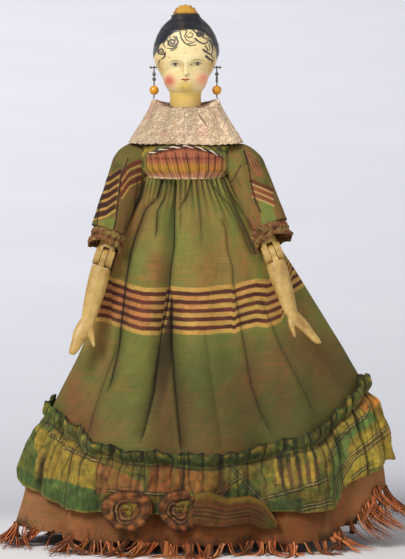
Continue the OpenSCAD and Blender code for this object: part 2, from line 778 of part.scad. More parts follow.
skirt_sides = 48;
flounce_sides = 88;
bell_power = 1.7;
waist_power = 2;
flounce_lift = 2;

// Shares of the waist's height, and of the hem's left, right and front half sizes
bell_shares = [[1, 0.186, 0.222, 0.252], [0.94, 0.262, 0.262, 0.29], [0.79, 0.47, 0.415, 0.4],
    [0.66, 0.61, 0.49, 0.5], [0.53, 0.75, 0.585, 0.62], [0.42, 0.865, 0.715, 0.71],
    [0.23, 0.955, 0.91, 0.88], [0, 1, 1, 1]];
// Shares of the waist's height, and of the folds' depth at the hem
fold_shares = [[1, 0.1], [0.94, 0.25], [0.79, 0.5], [0.53, 0.8], [0, 1]];
// Deep pleats: their angles from the front at the waist and at the hem, and their depths as shares
deep_pleats = [[-20, -7, 1], [42, 24, 0.9], [-36, -56, 0.8]];
pleat_spread = 7;

function bell(z, k) = lookup(z / waist_z, [for (s = bell_shares) [s[0], s[k]]]);

// How far the cloth stands out from the bell at angle q and height z
function fold(q, z) =
    let (down = 1 - z / waist_z, grow = lookup(z / waist_z, fold_shares))
    grow * (fold_d * (0.55 * cos(9 * q + 70) + 0.45 * cos(13 * q - 40 * down))
        - deep_pleat_d * sumof([for (p = deep_pleats)
            let (off = q - 270 - p[0] - (p[1] - p[0]) * down)
            p[2] * exp(-pow(off / pleat_spread, 2))]));

function sumof(v, i = 0) = i < len(v) ? v[i] + sumof(v, i + 1) : 0;

// A point of the bell at angle q and height z, moved out by o
function bell_point(q, z, o) =
    let (half = cos(q) > 0 ? hem_left * bell(z, 1) : hem_right * bell(z, 2),
        deep = hem_depth * bell(z, 3), f = fold(q, z) + o,
        power = waist_power + (bell_power - waist_power) * (1 - z / waist_z),
        c = sign(cos(q)) * pow(abs(cos(q)), 2 / power),
        s = sign(sin(q)) * pow(abs(sin(q)), 2 / power))
    [(half + f) * c, (deep + f) * s, z];

function bell_ring(z, o, sides) = [
    for (i = [0:sides - 1]) let (q = 360 * i / sides)
        bell_point(q, is_list(z) ? z[i] : z, o)];

// Heights of the flounce's two edges at angle q
function flounce_top(q) = flounce_top_z
    + (cos(q) > 0 ? flounce_rise_left : flounce_rise_right) * pow(abs(cos(q)), 3);
function flounce_low(q) = flounce_low_z + flounce_low_rise * pow(abs(cos(q)), 6);

ring_heights = [for (s = bell_shares) s[0] * waist_z];

hem_step = 1.5;

// The rings of the skirt, from the waist to a hem just above the flounce's lower edge:
// a ring that would lie below the hem stays above it
skirt_rings =
    let (hem = [for (i = [0:skirt_sides - 1]) flounce_low(360 * i / skirt_sides) + layer_gap],
        knots = len(ring_heights) - 1)
    concat([for (k = [0:knots - 1]) [for (z = hem) max(ring_heights[k], z + (knots - k) * hem_step)]],
        [hem]);

module skirt() {
    color(olive) cloth_wall([for (z = skirt_rings) bell_ring(z, 0, skirt_sides)],
        [for (z = skirt_rings) bell_ring(z, -cloth_t, skirt_sides)]);
}

// The petticoat follows the skirt inside it, and goes on to the floor, where it is cut flat
module petticoat() {
    inset = cloth_t + layer_gap;
    rings = concat(skirt_rings, [-cloth_t / 2]);
    color(salmon) difference() {
        cloth_wall([for (z = rings) bell_ring(z, -inset, skirt_sides)],
            [for (z = rings) bell_ring(z, -inset - cloth_t, skirt_sides)]);
        translate([-2 * hem_left, -2 * hem_depth, -cut]) cube([4 * hem_left, 4 * hem_depth, cut]);
    }
}

module flounce() {
    angles = [for (i = [0:flounce_sides - 1]) 360 * i / flounce_sides];
    shares = [0, 0.22, 0.62, 1];
    puff_shares = [0.35, 0.15, 1, 0.75];
    function ring(k, o) = [for (q = angles)
        let (z = flounce_top(q) + (flounce_low(q) - flounce_top(q)) * shares[k],
            wave = gather_d * puff_shares[k] * (1 + cos(gather_count * q)) / 2)
        bell_point(q, z, flounce_lift + wave + o)];
    color([0.45, 0.47, 0.22]) cloth_wall([for (k = [0:3]) ring(k, cloth_t)],
        [for (k = [0:3]) ring(k, 0)]);
}

// Rosettes: salmon cloth rolled into a spiral, sewn on at the foot of the flounce

rosette_turns = 2.25;
rosette_rings = 30;
outer_rosette_x = -29.4;
inner_rosette_x = -2.8;
roll_gap = 0.45;
stem_r = 0.75;
// The stem passes below the flounce's lower edge
stem_z = flounce_low_z - 2;

// The front of the bell at a place across and a height, moved out by o
function front_y(x, z, o) =
    let (half = x > 0 ? hem_left * bell(z, 1) : hem_right * bell(z, 2),
        deep = hem_depth * bell(z, 3),
        power = waist_power + (bell_power - waist_power) * (1 - z / waist_z),
        q = 360 - acos(sign(x) * pow(abs(x) / half, power / 2)))
    bell_point(q, z, o)[1];

flounce_out = flounce_lift + gather_d + cloth_t + layer_gap;

// The furthest forward that the cloth comes behind a rosette
function rosette_y(x, r) = min([for (k = [-6:6], z = [max(rosette_z, flounce_low_z), rosette_z + r])
    front_y(x + k * r / 6, z, flounce_out)]);

module rosette(x, r) {
    core = roll_t / 2;
    pitch = (r - core - roll_t / 2) / rosette_turns;
    back_y = rosette_y(x, r);
    stem_l = front_y(x, stem_z, 0) - back_y + cloth_t / 2;
    color(salmon) translate([x, back_y, rosette_z]) rotate([90, 0, 0]) {
        cylinder(r = r - roll_t / 2, h = roll_t / 2);
        translate([0, stem_z - rosette_z, -stem_l]) cylinder(r = stem_r, h = stem_l + roll_t / 4);
        translate([0, 0, roll_t]) loft([for (k = [0:rosette_rings - 1])
            let (t = k / (rosette_rings - 1), q = 360 * rosette_turns * t,
                at = core + pitch * rosette_turns * t, rise = (1 - t) * roll_t,
                half = (pitch - roll_gap) / 2)
            [for (i = [0:5]) let (p = 60 * i, s = at + half * cos(p))
                [s * cos(q), s * sin(q), rise + roll_t * sin(p)]]]);
    }
}

// Ribbon streamer: a strip of the striped cloth that loops from the inner rosette to the side

ribbon_rings = 14;
ribbon_drop = 12;
ribbon_arch = 2;

module ribbon_streamer() {
    start = inner_rosette_x + inner_rosette_r + cloth_t;
    function middle(t) = [start + ribbon_l * t,
        rosette_z + ribbon_arch * sin(180 * t) - ribbon_drop * t * t + ribbon_w / 4];
    function edge_pair(p) = let (y = front_y(p[0], max(p[1], flounce_low_z), flounce_out))
        [[p[0], y - cloth_t, p[1]], [p[0], y, p[1]]];
    color([0.6, 0.42, 0.25]) loft([for (k = [0:ribbon_rings - 1])
        let (t = k / (ribbon_rings - 1), m = middle(t), d = middle(t + 1 / 50) - m,
            n = [-d[1], d[0]] / norm(d) * ribbon_w / 2,
            high = edge_pair(m + n), low = edge_pair(m - n))
        [high[0], high[1], low[1], low[0]]]);
}

head_and_torso();
tuck_comb();
shoulder_dowel();
hip_dowel();
upper_arm(left);  // left_upper_arm
upper_arm(right);  // right_upper_arm
elbow_peg(left);  // left_elbow_peg
elbow_peg(right);  // right_elbow_peg
forearm(left);  // left_forearm
forearm(right);  // right_forearm
thigh(left);  // left_thigh
thigh(right);  // right_thigh
knee_peg(left);  // left_knee_peg
knee_peg(right);  // right_knee_peg
lower_leg(left);  // left_lower_leg
lower_leg(right);  // right_lower_leg
ear_pin(left);  // left_ear_pin
ear_pin(right);  // right_ear_pin
earring_wire(left);  // left_earring_wire
earring_wire(right);  // right_earring_wire
glass_beads(left);  // left_glass_beads
glass_beads(right);  // right_glass_beads
amber_bead(left);  // left_amber_bead
amber_bead(right);  // right_amber_bead
lace_collar();
bodice();
bodice_cord();
sleeve(left);  // left_sleeve
sleeve(right);  // right_sleeve
cuff(left);  // left_cuff
cuff(right);  // right_cuff
skirt();
flounce();
rosette(outer_rosette_x, outer_rosette_r);  // outer_rosette
rosette(inner_rosette_x, inner_rosette_r);  // inner_rosette
ribbon_streamer();
petticoat();
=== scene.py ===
import math
import bmesh
import bpy
import numpy as np
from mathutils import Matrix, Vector


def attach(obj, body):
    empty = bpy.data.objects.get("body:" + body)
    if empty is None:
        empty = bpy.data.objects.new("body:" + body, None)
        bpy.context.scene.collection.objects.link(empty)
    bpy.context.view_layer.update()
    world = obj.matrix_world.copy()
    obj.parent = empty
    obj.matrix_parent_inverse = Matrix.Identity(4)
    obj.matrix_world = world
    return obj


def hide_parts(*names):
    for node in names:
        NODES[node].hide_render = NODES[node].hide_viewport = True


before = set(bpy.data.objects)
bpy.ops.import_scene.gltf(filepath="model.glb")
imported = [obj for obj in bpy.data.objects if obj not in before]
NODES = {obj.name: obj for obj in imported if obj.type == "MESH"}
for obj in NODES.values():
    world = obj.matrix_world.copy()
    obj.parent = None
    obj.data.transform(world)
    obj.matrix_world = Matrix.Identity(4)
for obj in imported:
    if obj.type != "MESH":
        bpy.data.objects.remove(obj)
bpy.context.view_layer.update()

MM = 0.001
LEFT, RIGHT = 1, -1

# The photograph's frame.
# PX is a picture point in mm, in the doll's plane. The doll's middle line is at PX_X0, and the floor under
# it at PX_Y0. The camera looks down by TILT.
PX = 0.508
PX_X0, PX_Y0 = 185.5, 544.0
TILT = math.radians(7)
FRAME_W, FRAME_H = 405, 559


def to_px(v):
    """Where points in mm fall in the photograph; points behind the doll use its front's places."""
    y = -np.abs(v[:, 1])
    up = v[:, 2] * math.cos(TILT) + y * math.sin(TILT)
    return PX_X0 + v[:, 0] / PX, PX_Y0 - up / PX


def px_x(px):
    return (px - PX_X0) * PX


def px_z(py, y):
    return ((PX_Y0 - py) * PX - y * math.sin(TILT)) / math.cos(TILT)


# Noise, curves and paint.
LATTICE = np.random.default_rng(11).random((32, 32, 32))


def noise(p, size, seed=0, octaves=2):
    """Smooth value noise between -1 and 1 at points p, with features of about size."""
    total, amp, norm = np.zeros(len(p)), 1.0, 0.0
    for o in range(octaves):
        q = p / size * 2.0 ** o + 7.3 * seed + 3.1 * o
        i = np.floor(q).astype(int)
        f = q - i
        f = f * f * (3 - 2 * f)
        val = np.zeros(len(p))
        for dx in (0, 1):
            for dy in (0, 1):
                for dz in (0, 1):
                    w = ((f[:, 0] if dx else 1 - f[:, 0]) * (f[:, 1] if dy else 1 - f[:, 1])
                         * (f[:, 2] if dz else 1 - f[:, 2]))
                    val += w * LATTICE[(i[:, 0] + dx) % 32, (i[:, 1] + dy) % 32, (i[:, 2] + dz) % 32]
        total += amp * (2 * val - 1)
        norm += amp
        amp *= 0.5
    return total / norm


def smooth(a, b, x):
    t = np.clip((x - a) / (b - a), 0, 1)
    return t * t * (3 - 2 * t)


def peak(x, width):
    return np.exp(-(x / width) ** 2)


def signed_power(x, power):
    return np.sign(x) * np.abs(x) ** power


def cosd(degrees):
    return np.cos(np.radians(degrees))


def sind(degrees):
    return np.sin(np.radians(degrees))


def points(*parts):
    """Points from their coordinates."""
    return np.stack(parts, -1)


def places(across, down):
    """The places of a grid with a row for each of down, one after the other."""
    return np.tile(across, len(down)), np.repeat(down, len(across))


def patches(p, size, seed, low, high, octaves=2):
    """Soft patches: 0 where the noise is under low, 1 over high, or the other way round."""
    return smooth(low, high, noise(p, size, seed, octaves))


def rgb(r, g, b):
    return np.array([r, g, b], float) / 255


def linear(c):
    c = np.clip(np.asarray(c, float), 0, 1)
    return np.where(c <= 0.04045, c / 12.92, ((c + 0.055) / 1.055) ** 2.4)


def line_distance(x, y, pts):
    """Distance to a line of points, the way along it from 0 to 1, and the side."""
    best = np.full(len(x), 1e9)
    along = np.zeros(len(x))
    side = np.zeros(len(x))
    pts = np.asarray(pts, float)
    lens = np.hypot(*(pts[1:] - pts[:-1]).T)
    total, run = lens.sum(), 0.0
    for a, b, length in zip(pts[:-1], pts[1:], lens):
        d = b - a
        t = np.clip(((x - a[0]) * d[0] + (y - a[1]) * d[1]) / max(length ** 2, 1e-12), 0, 1)
        ex, ey = x - a[0] - t * d[0], y - a[1] - t * d[1]
        dist = np.hypot(ex, ey)
        near = dist < best
        best = np.where(near, dist, best)
        along = np.where(near, (run + t * length) / total, along)
        side = np.where(near, np.sign(d[0] * ey - d[1] * ex), side)
        run += length
    return best, along, side


def inside(x, y, pts):
    pts = np.asarray(pts, float)
    hit = np.zeros(len(x), bool)
    for a, b in zip(pts, np.roll(pts, -1, 0)):
        if a[1] == b[1]:
            continue
        cross = (a[1] > y) != (b[1] > y)
        hit ^= cross & (x < (b[0] - a[0]) * (y - a[1]) / (b[1] - a[1]) + a[0])
    return hit


class Paint:
    """Colours for points, laid on in layers. Its shapes have the units of x and y."""

    def __init__(self, x, y, base):
        self.x, self.y = x, y
        self.c = np.tile(np.asarray(base, float), (len(x), 1))

    def over(self, colour, alpha):
        colour = np.asarray(colour, float)
        self.c += np.clip(alpha, 0, 1)[:, None] * (colour - self.c)

    def shade(self, alpha):
        self.c *= 1 - np.clip(alpha, 0, 1)[:, None]

    def stroke(self, pts, width, colour, soft=0.7, strength=1.0, taper=0.0, where=1.0):
        d, t, _ = line_distance(self.x, self.y, pts)
        w = width / 2 * (1 - taper * np.abs(2 * t - 1) ** 2)
        self.over(colour, strength * where * np.clip((w - d) / soft + 0.5, 0, 1))

    def area(self, pts, colour, soft=1.0, strength=1.0, where=1.0):
        d, _, _ = line_distance(self.x, self.y, list(pts) + [pts[0]])
        sd = np.where(inside(self.x, self.y, pts), d, -d)
        self.over(colour, strength * where * np.clip(sd / soft + 0.5, 0, 1))

    def blob(self, cx, cy, rx, ry, colour, strength=1.0, power=1.0):
        d = ((self.x - cx) / rx) ** 2 + ((self.y - cy) / ry) ** 2
        self.over(colour, strength * np.exp(-d ** power))


# Meshes.
def grid(rows, cols, wrap=False, flip=False):
    """Faces between rows of points. With wrap each row is a ring, and flip turns the faces over."""
    a = np.arange(rows * cols).reshape(rows, cols)
    if wrap:
        a = np.concatenate([a, a[:, :1]], 1)
    corners = [a[:-1, :-1], a[1:, :-1], a[1:, 1:], a[:-1, 1:]]
    if flip:
        corners = corners[:1] + corners[:0:-1]
    return np.stack(corners, -1).reshape(-1, 4)


def capped(rings, sides, flip=False):
    """Faces of a tube of rings with both ends closed."""
    first, last = tuple(range(sides)), tuple(range((rings - 1) * sides, rings * sides))
    ends = [first[::-1], last] if flip else [first, last[::-1]]
    return grid(rings, sides, True, flip).tolist() + ends


def make(name, v, faces, mat, body, nodes=(), thick=0.0, paint=None, cloth=None, cut=None,
         fields=None):
    """A piece from points in mm, with its colours, cloth places and other fields on its points."""
    me = bpy.data.meshes.new(name)
    me.from_pydata((v * MM).tolist(), [], faces if isinstance(faces, list) else faces.tolist())
    me.update()
    me.polygons.foreach_set("use_smooth", np.ones(len(me.polygons), bool))
    data = {"rest": v * MM}
    if cloth is not None:
        data["cloth"] = np.concatenate([cloth, np.zeros((len(v), 1))], 1)
    for key, value in data.items():
        add_field(me, key, "FLOAT_VECTOR", "vector", value)
    if paint is not None:
        rgba = np.concatenate([linear(paint), np.ones((len(v), 1))], 1)
        add_field(me, "paint", "FLOAT_COLOR", "color", rgba)
    for key, value in (fields or {}).items():
        add_field(me, key, "FLOAT", "value", value)
    o = add_object(name, me)
    if cut is not None:
        delete_points(me, cut)
    me.materials.append(mat)
    if thick:
        s = o.modifiers.new("thickness", "SOLIDIFY")
        s.thickness = thick * MM
        s.offset = -1.0
    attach(o, body)
    if nodes:
        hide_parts(*nodes)
    return o


def add_field(me, name, kind, key, values):
    me.attributes.new(name, kind, "POINT").data.foreach_set(key, values.astype(np.float32).ravel())


def add_object(name, data):
    o = bpy.data.objects.new(name, data)
    bpy.context.scene.collection.objects.link(o)
    return o


def vertex_values(me, key):
    values = np.zeros(len(me.vertices) * 3, np.float32)
    me.vertices.foreach_get(key, values)
    return values.reshape(-1, 3)


def delete_points(me, mask):
    bm = bmesh.new()
    bm.from_mesh(me)
    bm.verts.ensure_lookup_table()
    bmesh.ops.delete(bm, geom=[bm.verts[i] for i in np.nonzero(mask)[0]], context="VERTS")
    bm.to_mesh(me)
    bm.free()


def tube(path, radius, sides=8, squash=1.0):
    """A tube round a path in mm; radius is one number or one for each point."""
    path = np.asarray(path, float)
    n = len(path)
    r = np.broadcast_to(np.asarray(radius, float), (n,))
    tan = np.gradient(path, axis=0)
    tan /= np.linalg.norm(tan, axis=1)[:, None] + 1e-12
    up = np.array([0, 0, 1.0]) if abs(tan[0, 2]) < 0.9 else np.array([1.0, 0, 0])
    out = []
    for p, t, rr in zip(path, tan, r):
        a = np.cross(t, up)
        a /= np.linalg.norm(a) + 1e-12
        b = np.cross(a, t)
        up = b
        q = np.arange(sides) * 2 * math.pi / sides
        out.append(p + rr * (np.cos(q)[:, None] * a + squash * np.sin(q)[:, None] * b))
    return np.concatenate(out), capped(n, sides, flip=True)


class Bag:
    """Several meshes gathered into one."""

    def __init__(self):
        self.v, self.f, self.p, self.n = [], [], [], 0

    def add(self, v, faces, colour):
        self.v.append(v)
        self.f += [tuple(i + self.n for i in f) for f in faces]
        self.p.append(np.tile(colour, (len(v), 1)) if np.ndim(colour) == 1 else colour)
        self.n += len(v)

    def done(self):
        return np.concatenate(self.v), self.f, np.concatenate(self.p)


# Materials.
class Finish:
    """A material, with short calls for the shader nodes that the finishes are made of."""

    def __init__(self, name, rough=0.6, **sockets):
        self.m = bpy.data.materials.new(name)
        self.m.use_nodes = True
        self.tree = self.m.node_tree
        self.b = self.tree.nodes["Principled BSDF"]
        self.b.inputs["Roughness"].default_value = rough
        for key, value in sockets.items():
            self.b.inputs[key.replace("_", " ")].default_value = value

    def add(self, kind, inputs=(), **props):
        n = self.tree.nodes.new(kind)
        for key, value in props.items():
            setattr(n, key, value)
        for key, value in dict(inputs).items():
            self.put(n.inputs[key], value)
        return n

    def put(self, socket, value):
        if isinstance(value, bpy.types.NodeSocket):
            self.tree.links.new(value, socket)
        else:
            socket.default_value = value

    def attr(self, name, out="Vector"):
        return self.add("ShaderNodeAttribute", attribute_name=name, attribute_type="GEOMETRY").outputs[out]

    def scaled(self, vec, x, y, z=1.0):
        return self.add("ShaderNodeVectorMath", {0: vec, 1: (x, y, z)}, operation="MULTIPLY").outputs[0]

    def part(self, vec, axis):
        return self.add("ShaderNodeSeparateXYZ", {0: vec}).outputs[axis]

    def noise(self, vec, scale, detail=2.0, rough=0.55):
        return self.add("ShaderNodeTexNoise", {"Vector": vec, "Scale": scale, "Detail": detail,
                                               "Roughness": rough}).outputs["Fac"]

    def math(self, op, a, b=0.0, c=0.0):
        return self.add("ShaderNodeMath", {0: a, 1: b, 2: c}, operation=op).outputs[0]

    def object_place(self):
        return self.add("ShaderNodeTexCoord").outputs["Object"]

    def cells(self, vec, scale, feature="DISTANCE_TO_EDGE"):
        return self.add("ShaderNodeTexVoronoi", {"Vector": vec, "Scale": scale}, feature=feature).outputs[0]

    def clamp(self, value):
        return self.add("ShaderNodeClamp", {0: value}).outputs[0]

    def grey(self, value, blue=None):
        value_blue = value if blue is None else blue
        return self.add("ShaderNodeCombineColor", {0: value, 1: value, 2: value_blue}).outputs[0]

    def ramp(self, fac, stops):
        n = self.add("ShaderNodeValToRGB", {0: fac})
        el = n.color_ramp.elements
        while len(el) < len(stops):
            el.new(0.5)
        for e, (pos, value) in zip(el, stops):
            e.position = pos
            e.color = (*value, 1) if hasattr(value, "__len__") else (value, value, value, 1)
        return n.outputs[0]

    def mix(self, fac, a, b, blend="MIX"):
        n = self.add("ShaderNodeMix", data_type="RGBA", blend_type=blend)
        for i, value in ((0, fac), (6, a), (7, b)):
            if hasattr(value, "__len__") and not isinstance(value, bpy.types.NodeSocket) and len(value) == 3:
                value = (*value, 1)
            self.put(n.inputs[i], value)
        return n.outputs[2]

    def bump(self, height, strength, distance):
        n = self.add("ShaderNodeBump", {"Strength": strength, "Distance": distance, "Height": height})
        old = self.b.inputs["Normal"].links
        if old:
            self.tree.links.new(old[0].from_socket, n.inputs["Normal"])
        self.tree.links.new(n.outputs[0], self.b.inputs["Normal"])

    def colour(self, value):
        self.put(self.b.inputs["Base Color"], value)


def fabric(name, pitch=0.5, thread=0.16, weave=0.35, rough=0.75, sheen=0.03, mottle=0.12):
    """Woven cloth: painted colours, threads along and across, worn patches and a fine weave."""
    f = Finish(name, rough, Sheen_Weight=sheen, Sheen_Roughness=0.5)
    f.b.inputs["Specular IOR Level"].default_value = 0.18
    col = f.attr("paint", "Color")
    cl = f.attr("cloth")
    warp = f.noise(f.scaled(cl, 2.4, 0.05), 1.0, 2.0)
    weft = f.noise(f.scaled(cl, 0.05, 2.4), 1.0, 2.0)
    rest = f.attr("rest")
    patch = f.noise(rest, 90.0, 3.0)
    grain = f.math("ADD", warp, weft)
    bright = f.math("MULTIPLY_ADD", grain, 2 * thread, 1 - 2 * thread)
    bright = f.math("MULTIPLY", bright, f.math("MULTIPLY_ADD", patch, 2 * mottle, 1 - mottle))
    streak = f.math("ADD", f.noise(f.scaled(cl, 1.3, 0.03), 1.0, 2.0),
                    f.noise(f.scaled(cl, 0.03, 1.3), 1.0, 2.0))
    tint = f.ramp(f.math("MULTIPLY", f.math("ADD", streak, grain), 0.25),
                  [(0.42, linear(rgb(150, 196, 130))), (0.5, linear(rgb(188, 188, 188))),
                   (0.58, linear(rgb(232, 176, 150)))])
    col = f.mix(0.6, col, tint, "SOFT_LIGHT")
    f.colour(f.mix(1.0, col, f.grey(bright), "MULTIPLY"))
    k = 2 * math.pi / pitch
    weave_h = f.math("MULTIPLY", f.math("SINE", f.math("MULTIPLY", f.part(cl, 0), k)),
                     f.math("SINE", f.math("MULTIPLY", f.part(cl, 1), k)))
    height = f.math("ADD", weave_h, f.math("MULTIPLY", grain, 1.5))
    f.bump(height, weave, 0.00012)
    f.bump(f.noise(rest, 420.0, 2.0), 0.25, 0.0004)
    return f.m


def painted_wood(name, rough=0.42, wear=0.5):
    """Aged gesso and oil paint: yellowed patches, dark pores, fine cracks and scuffs to the wood."""
    f = Finish(name, rough, Coat_Weight=0.12, Coat_Roughness=0.35)
    rest = f.object_place()
    big = f.noise(rest, 130.0, 4.0, 0.6)
    fine = f.noise(rest, 700.0, 3.0, 0.65)
    along = f.noise(f.scaled(rest, 1.0, 1.0, 0.12), 900.0, 2.0)
    col = f.ramp(big, [(0.25, linear(rgb(206, 176, 108))), (0.5, linear(rgb(186, 150, 80))),
                       (0.72, linear(rgb(146, 108, 52)))])
    col = f.mix(f.ramp(along, [(0.5, 0.0), (0.72, 0.35)]), col, linear(rgb(170, 132, 72)))
    scuffs = f.ramp(fine, [(0.62, 0.0), (0.70, wear)])
    col = f.mix(scuffs, col, linear(rgb(122, 88, 48)))
    f.colour(col)
    crack = f.cells(rest, 420.0)
    f.put(f.b.inputs["Roughness"], f.math("MULTIPLY_ADD", big, 0.35, rough - 0.15))
    f.bump(f.math("MINIMUM", crack, 0.06), 0.25, 0.0006)
    f.bump(f.math("ADD", fine, f.math("MULTIPLY", along, 0.8)), 0.35, 0.0003)
    return f.m


def bare_wood(name):
    f = Finish(name, 0.62)
    rest = f.object_place()
    grain = f.noise(f.scaled(rest, 0.15, 1.0, 1.0), 1400.0, 3.0)
    col = f.ramp(grain, [(0.3, linear(rgb(150, 112, 66))), (0.55, linear(rgb(190, 150, 98))),
                         (0.75, linear(rgb(212, 178, 126)))])
    f.colour(col)
    f.bump(grain, 0.4, 0.0003)
    return f.m


def comb_gold(name):
    f = Finish(name, 0.38, Coat_Weight=0.3, Coat_Roughness=0.25)
    rest = f.object_place()
    x, z = f.part(rest, 0), f.part(rest, 2)
    n = f.noise(rest, 260.0, 3.0)
    col = f.ramp(n, [(0.3, linear(rgb(226, 172, 62))), (0.55, linear(rgb(206, 150, 46))),
                     (0.74, linear(rgb(140, 92, 34)))])
    ends = f.clamp(f.math("MULTIPLY", f.math("SUBTRACT", f.math("ABSOLUTE", x), 0.0034), 420.0))
    col = f.mix(f.math("MULTIPLY", ends, 0.75), col, linear(rgb(112, 62, 26)))
    rail = f.clamp(f.math("MULTIPLY", f.math("SUBTRACT", 0.27005, z), 5000.0))
    col = f.mix(rail, col, linear(rgb(48, 46, 46)))
    f.colour(col)
    f.bump(n, 0.4, 0.0003)
    return f.m


def metal(name, c, rough=0.4):
    f = Finish(name, rough, Metallic=0.85)
    rest = f.object_place()
    n = f.noise(rest, 1500.0, 2.0)
    f.colour(f.mix(n, linear(rgb(*c)), linear(rgb(*(v * 0.35 for v in c)))))
    f.bump(n, 0.2, 0.0001)
    return f.m


def bead(name, c, rough, through):
    f = Finish(name, rough, Transmission_Weight=through, IOR=1.5, Coat_Weight=0.3)
    rest = f.object_place()
    n = f.noise(rest, 500.0, 3.0)
    a, b = linear(rgb(*c)), linear(rgb(*(v * 0.72 for v in c)))
    f.colour(f.ramp(n, [(0.35, a), (0.7, b)]))
    f.bump(n, 0.1, 0.0002)
    return f.m


# The skirts' shape, as in the CAD.
WAIST_Z, HEM_LEFT, HEM_RIGHT, HEM_DEPTH = 188.0, 105.0, 88.0, 50.0
BELL = np.array([[1, .186, .222, .252], [.94, .262, .262, .29], [.79, .47, .415, .4], [.66, .61, .49, .5],
                 [.53, .75, .585, .62], [.42, .865, .715, .71], [.23, .955, .91, .88], [0, 1, 1, 1]])[::-1]
FOLD = np.array([[1, .1], [.94, .25], [.79, .5], [.53, .8], [0, 1]])[::-1]
PLEATS = [(-20, -7, 1), (42, 24, .9), (-36, -56, .8)]
FOLD_D, PLEAT_D, PLEAT_SPREAD = 3.2, 5.0, 7.0


def bell(z, k):
    t = z / WAIST_Z
    return sum(np.interp(t + d, BELL[:, 0], BELL[:, k]) for d in (-.05, -.025, 0, .025, .05)) / 5


def fold(q, z):
    t = z / WAIST_Z
    grow = np.interp(t, FOLD[:, 0], FOLD[:, 1])
    f = FOLD_D * (.55 * cosd(9 * q + 70) + .45 * cosd(13 * q - 40 * (1 - t)))
    for a, b, s in PLEATS:
        off = q - 270 - a - (b - a) * (1 - t)
        f = f - PLEAT_D * s * peak(off, PLEAT_SPREAD)
    return grow * f


def bell_point(q, z, out):
    """Points of the skirts at angles q (front is 270) and heights z, moved out by out."""
    half = np.where(cosd(q) > 0, HEM_LEFT * bell(z, 1), HEM_RIGHT * bell(z, 2))
    deep = HEM_DEPTH * bell(z, 3)
    f = fold(q, z) + out
    power = 2 - 0.3 * (1 - z / WAIST_Z)
    c, s = cosd(q), sind(q)
    return points((half + f) * signed_power(c, 2 / power), (deep + f) * signed_power(s, 2 / power), z)


def flounce_top(q):
    c = cosd(q)
    return 52 + np.where(c > 0, 35, 23) * np.abs(c) ** 3


def flounce_low(q):
    turn = np.mod(q, 360)
    right = np.where(turn > 180, smooth(317, 328, turn), smooth(48, 12, turn))
    return 21.2 + 19.5 * np.abs(cosd(q)) ** 11 * (1 - .55 * right) + 13.0 * right


def columns(front, back):
    """Angles round the skirts from the back seam, close together in front."""
    a = np.linspace(90, 180, back // 2, endpoint=False)
    b = np.linspace(180, 360, front, endpoint=False)
    c = np.linspace(360, 450, back // 2 + 1)
    return np.concatenate([a, b, c])


def arc_lengths(p):
    """Cloth places for a grid of points: along each row and down each column, in mm."""
    du = np.linalg.norm(np.diff(p, axis=1), axis=2)
    u = np.concatenate([np.zeros((p.shape[0], 1)), np.cumsum(du, 1)], 1)
    u = np.tile(u[p.shape[0] // 2], (p.shape[0], 1)) * 0.5 + u * 0.5
    dv = np.linalg.norm(np.diff(p, axis=0), axis=2).mean(1)
    v = np.tile(np.concatenate([[0], np.cumsum(dv)])[:, None], (1, p.shape[1]))
    return points(u, v).reshape(-1, 2)


# Tucks of the skirt: places in the photograph, depth in mm, widths to the left and right in points,
# and how dark the painted shade along their lines is.
TUCKS = [
    ([(160, 178), (155, 199), (143.5, 210.5), (133, 238), (127.5, 254), (123, 282), (120, 310), (115, 350),
      (106, 395)], 2.3, 3.0, 8.0, 0.85),
    ([(166, 183), (164, 196), (156, 213), (155, 243)], 1.0, 2.0, 5.0, 0.75),
    ([(175, 184), (173.4, 216), (173.4, 248), (170, 269), (168, 295), (165.6, 311), (161.7, 327), (158, 350),
      (153, 393), (146, 420), (139, 446)], 2.8, 9.0, 2.4, 0.95),
    ([(171, 303), (171.5, 345), (174, 380), (178, 420), (182, 456)], 2.8, 2.4, 9.0, 0.85),
    ([(192, 181), (186.5, 199), (178.7, 210.5), (174.7, 216)], 1.1, 2.0, 5.0, 0.8),
    ([(209, 181), (220, 195), (231, 206.6), (238.8, 222), (247, 240), (256, 262)], 1.2, 5.0, 2.0, 0.5),
    ([(223, 222), (227, 230), (229, 251), (233.6, 269), (234.2, 285), (237.5, 301), (241, 322), (246, 350),
      (252, 385), (261, 412), (275, 440)], 1.2, 2.4, 6.0, 0.45),
    ([(128, 300), (120, 330), (104, 380), (92, 415), (86, 440)], 1.0, 3.0, 6.0, 0.35),
    ([(205, 330), (211, 380), (219, 430), (222, 455)], 0.8, 5.0, 5.0, 0.2),
    ([(262, 300), (283, 350), (305, 392), (318, 420)], 1.0, 3.0, 7.0, 0.35),
    ([(182, 181), (181, 200), (180, 235)], 0.6, 2.0, 3.0, 0.35),
    ([(199, 181), (200, 205), (203, 250)], 0.5, 2.5, 2.5, 0.2),
]


def tuck_fields(px, py, front):
    """How far the tucks sink the cloth, in mm, and how much painted shade they lay along their lines."""
    sink = np.zeros(len(px))
    dark = np.zeros(len(px))
    for pts, depth, wl, wr, k in TUCKS:
        pts = np.array(pts)
        xl = np.interp(py, pts[:, 1], pts[:, 0])
        s = px - xl
        ends = smooth(pts[0, 1] - 6, pts[0, 1] + 4, py) * (1 - smooth(pts[-1, 1] - 14, pts[-1, 1] + 2, py))
        w = np.where(s < 0, wl, wr)
        sink += front * ends * depth * np.exp(-np.abs(s / w) ** 1.3)
        dark = np.maximum(dark, front * ends * k * peak(s, 0.85))
        dark = np.maximum(dark, front * ends * 0.45 * k * np.exp(-np.abs(s / (0.6 * w))))
    return sink, dark


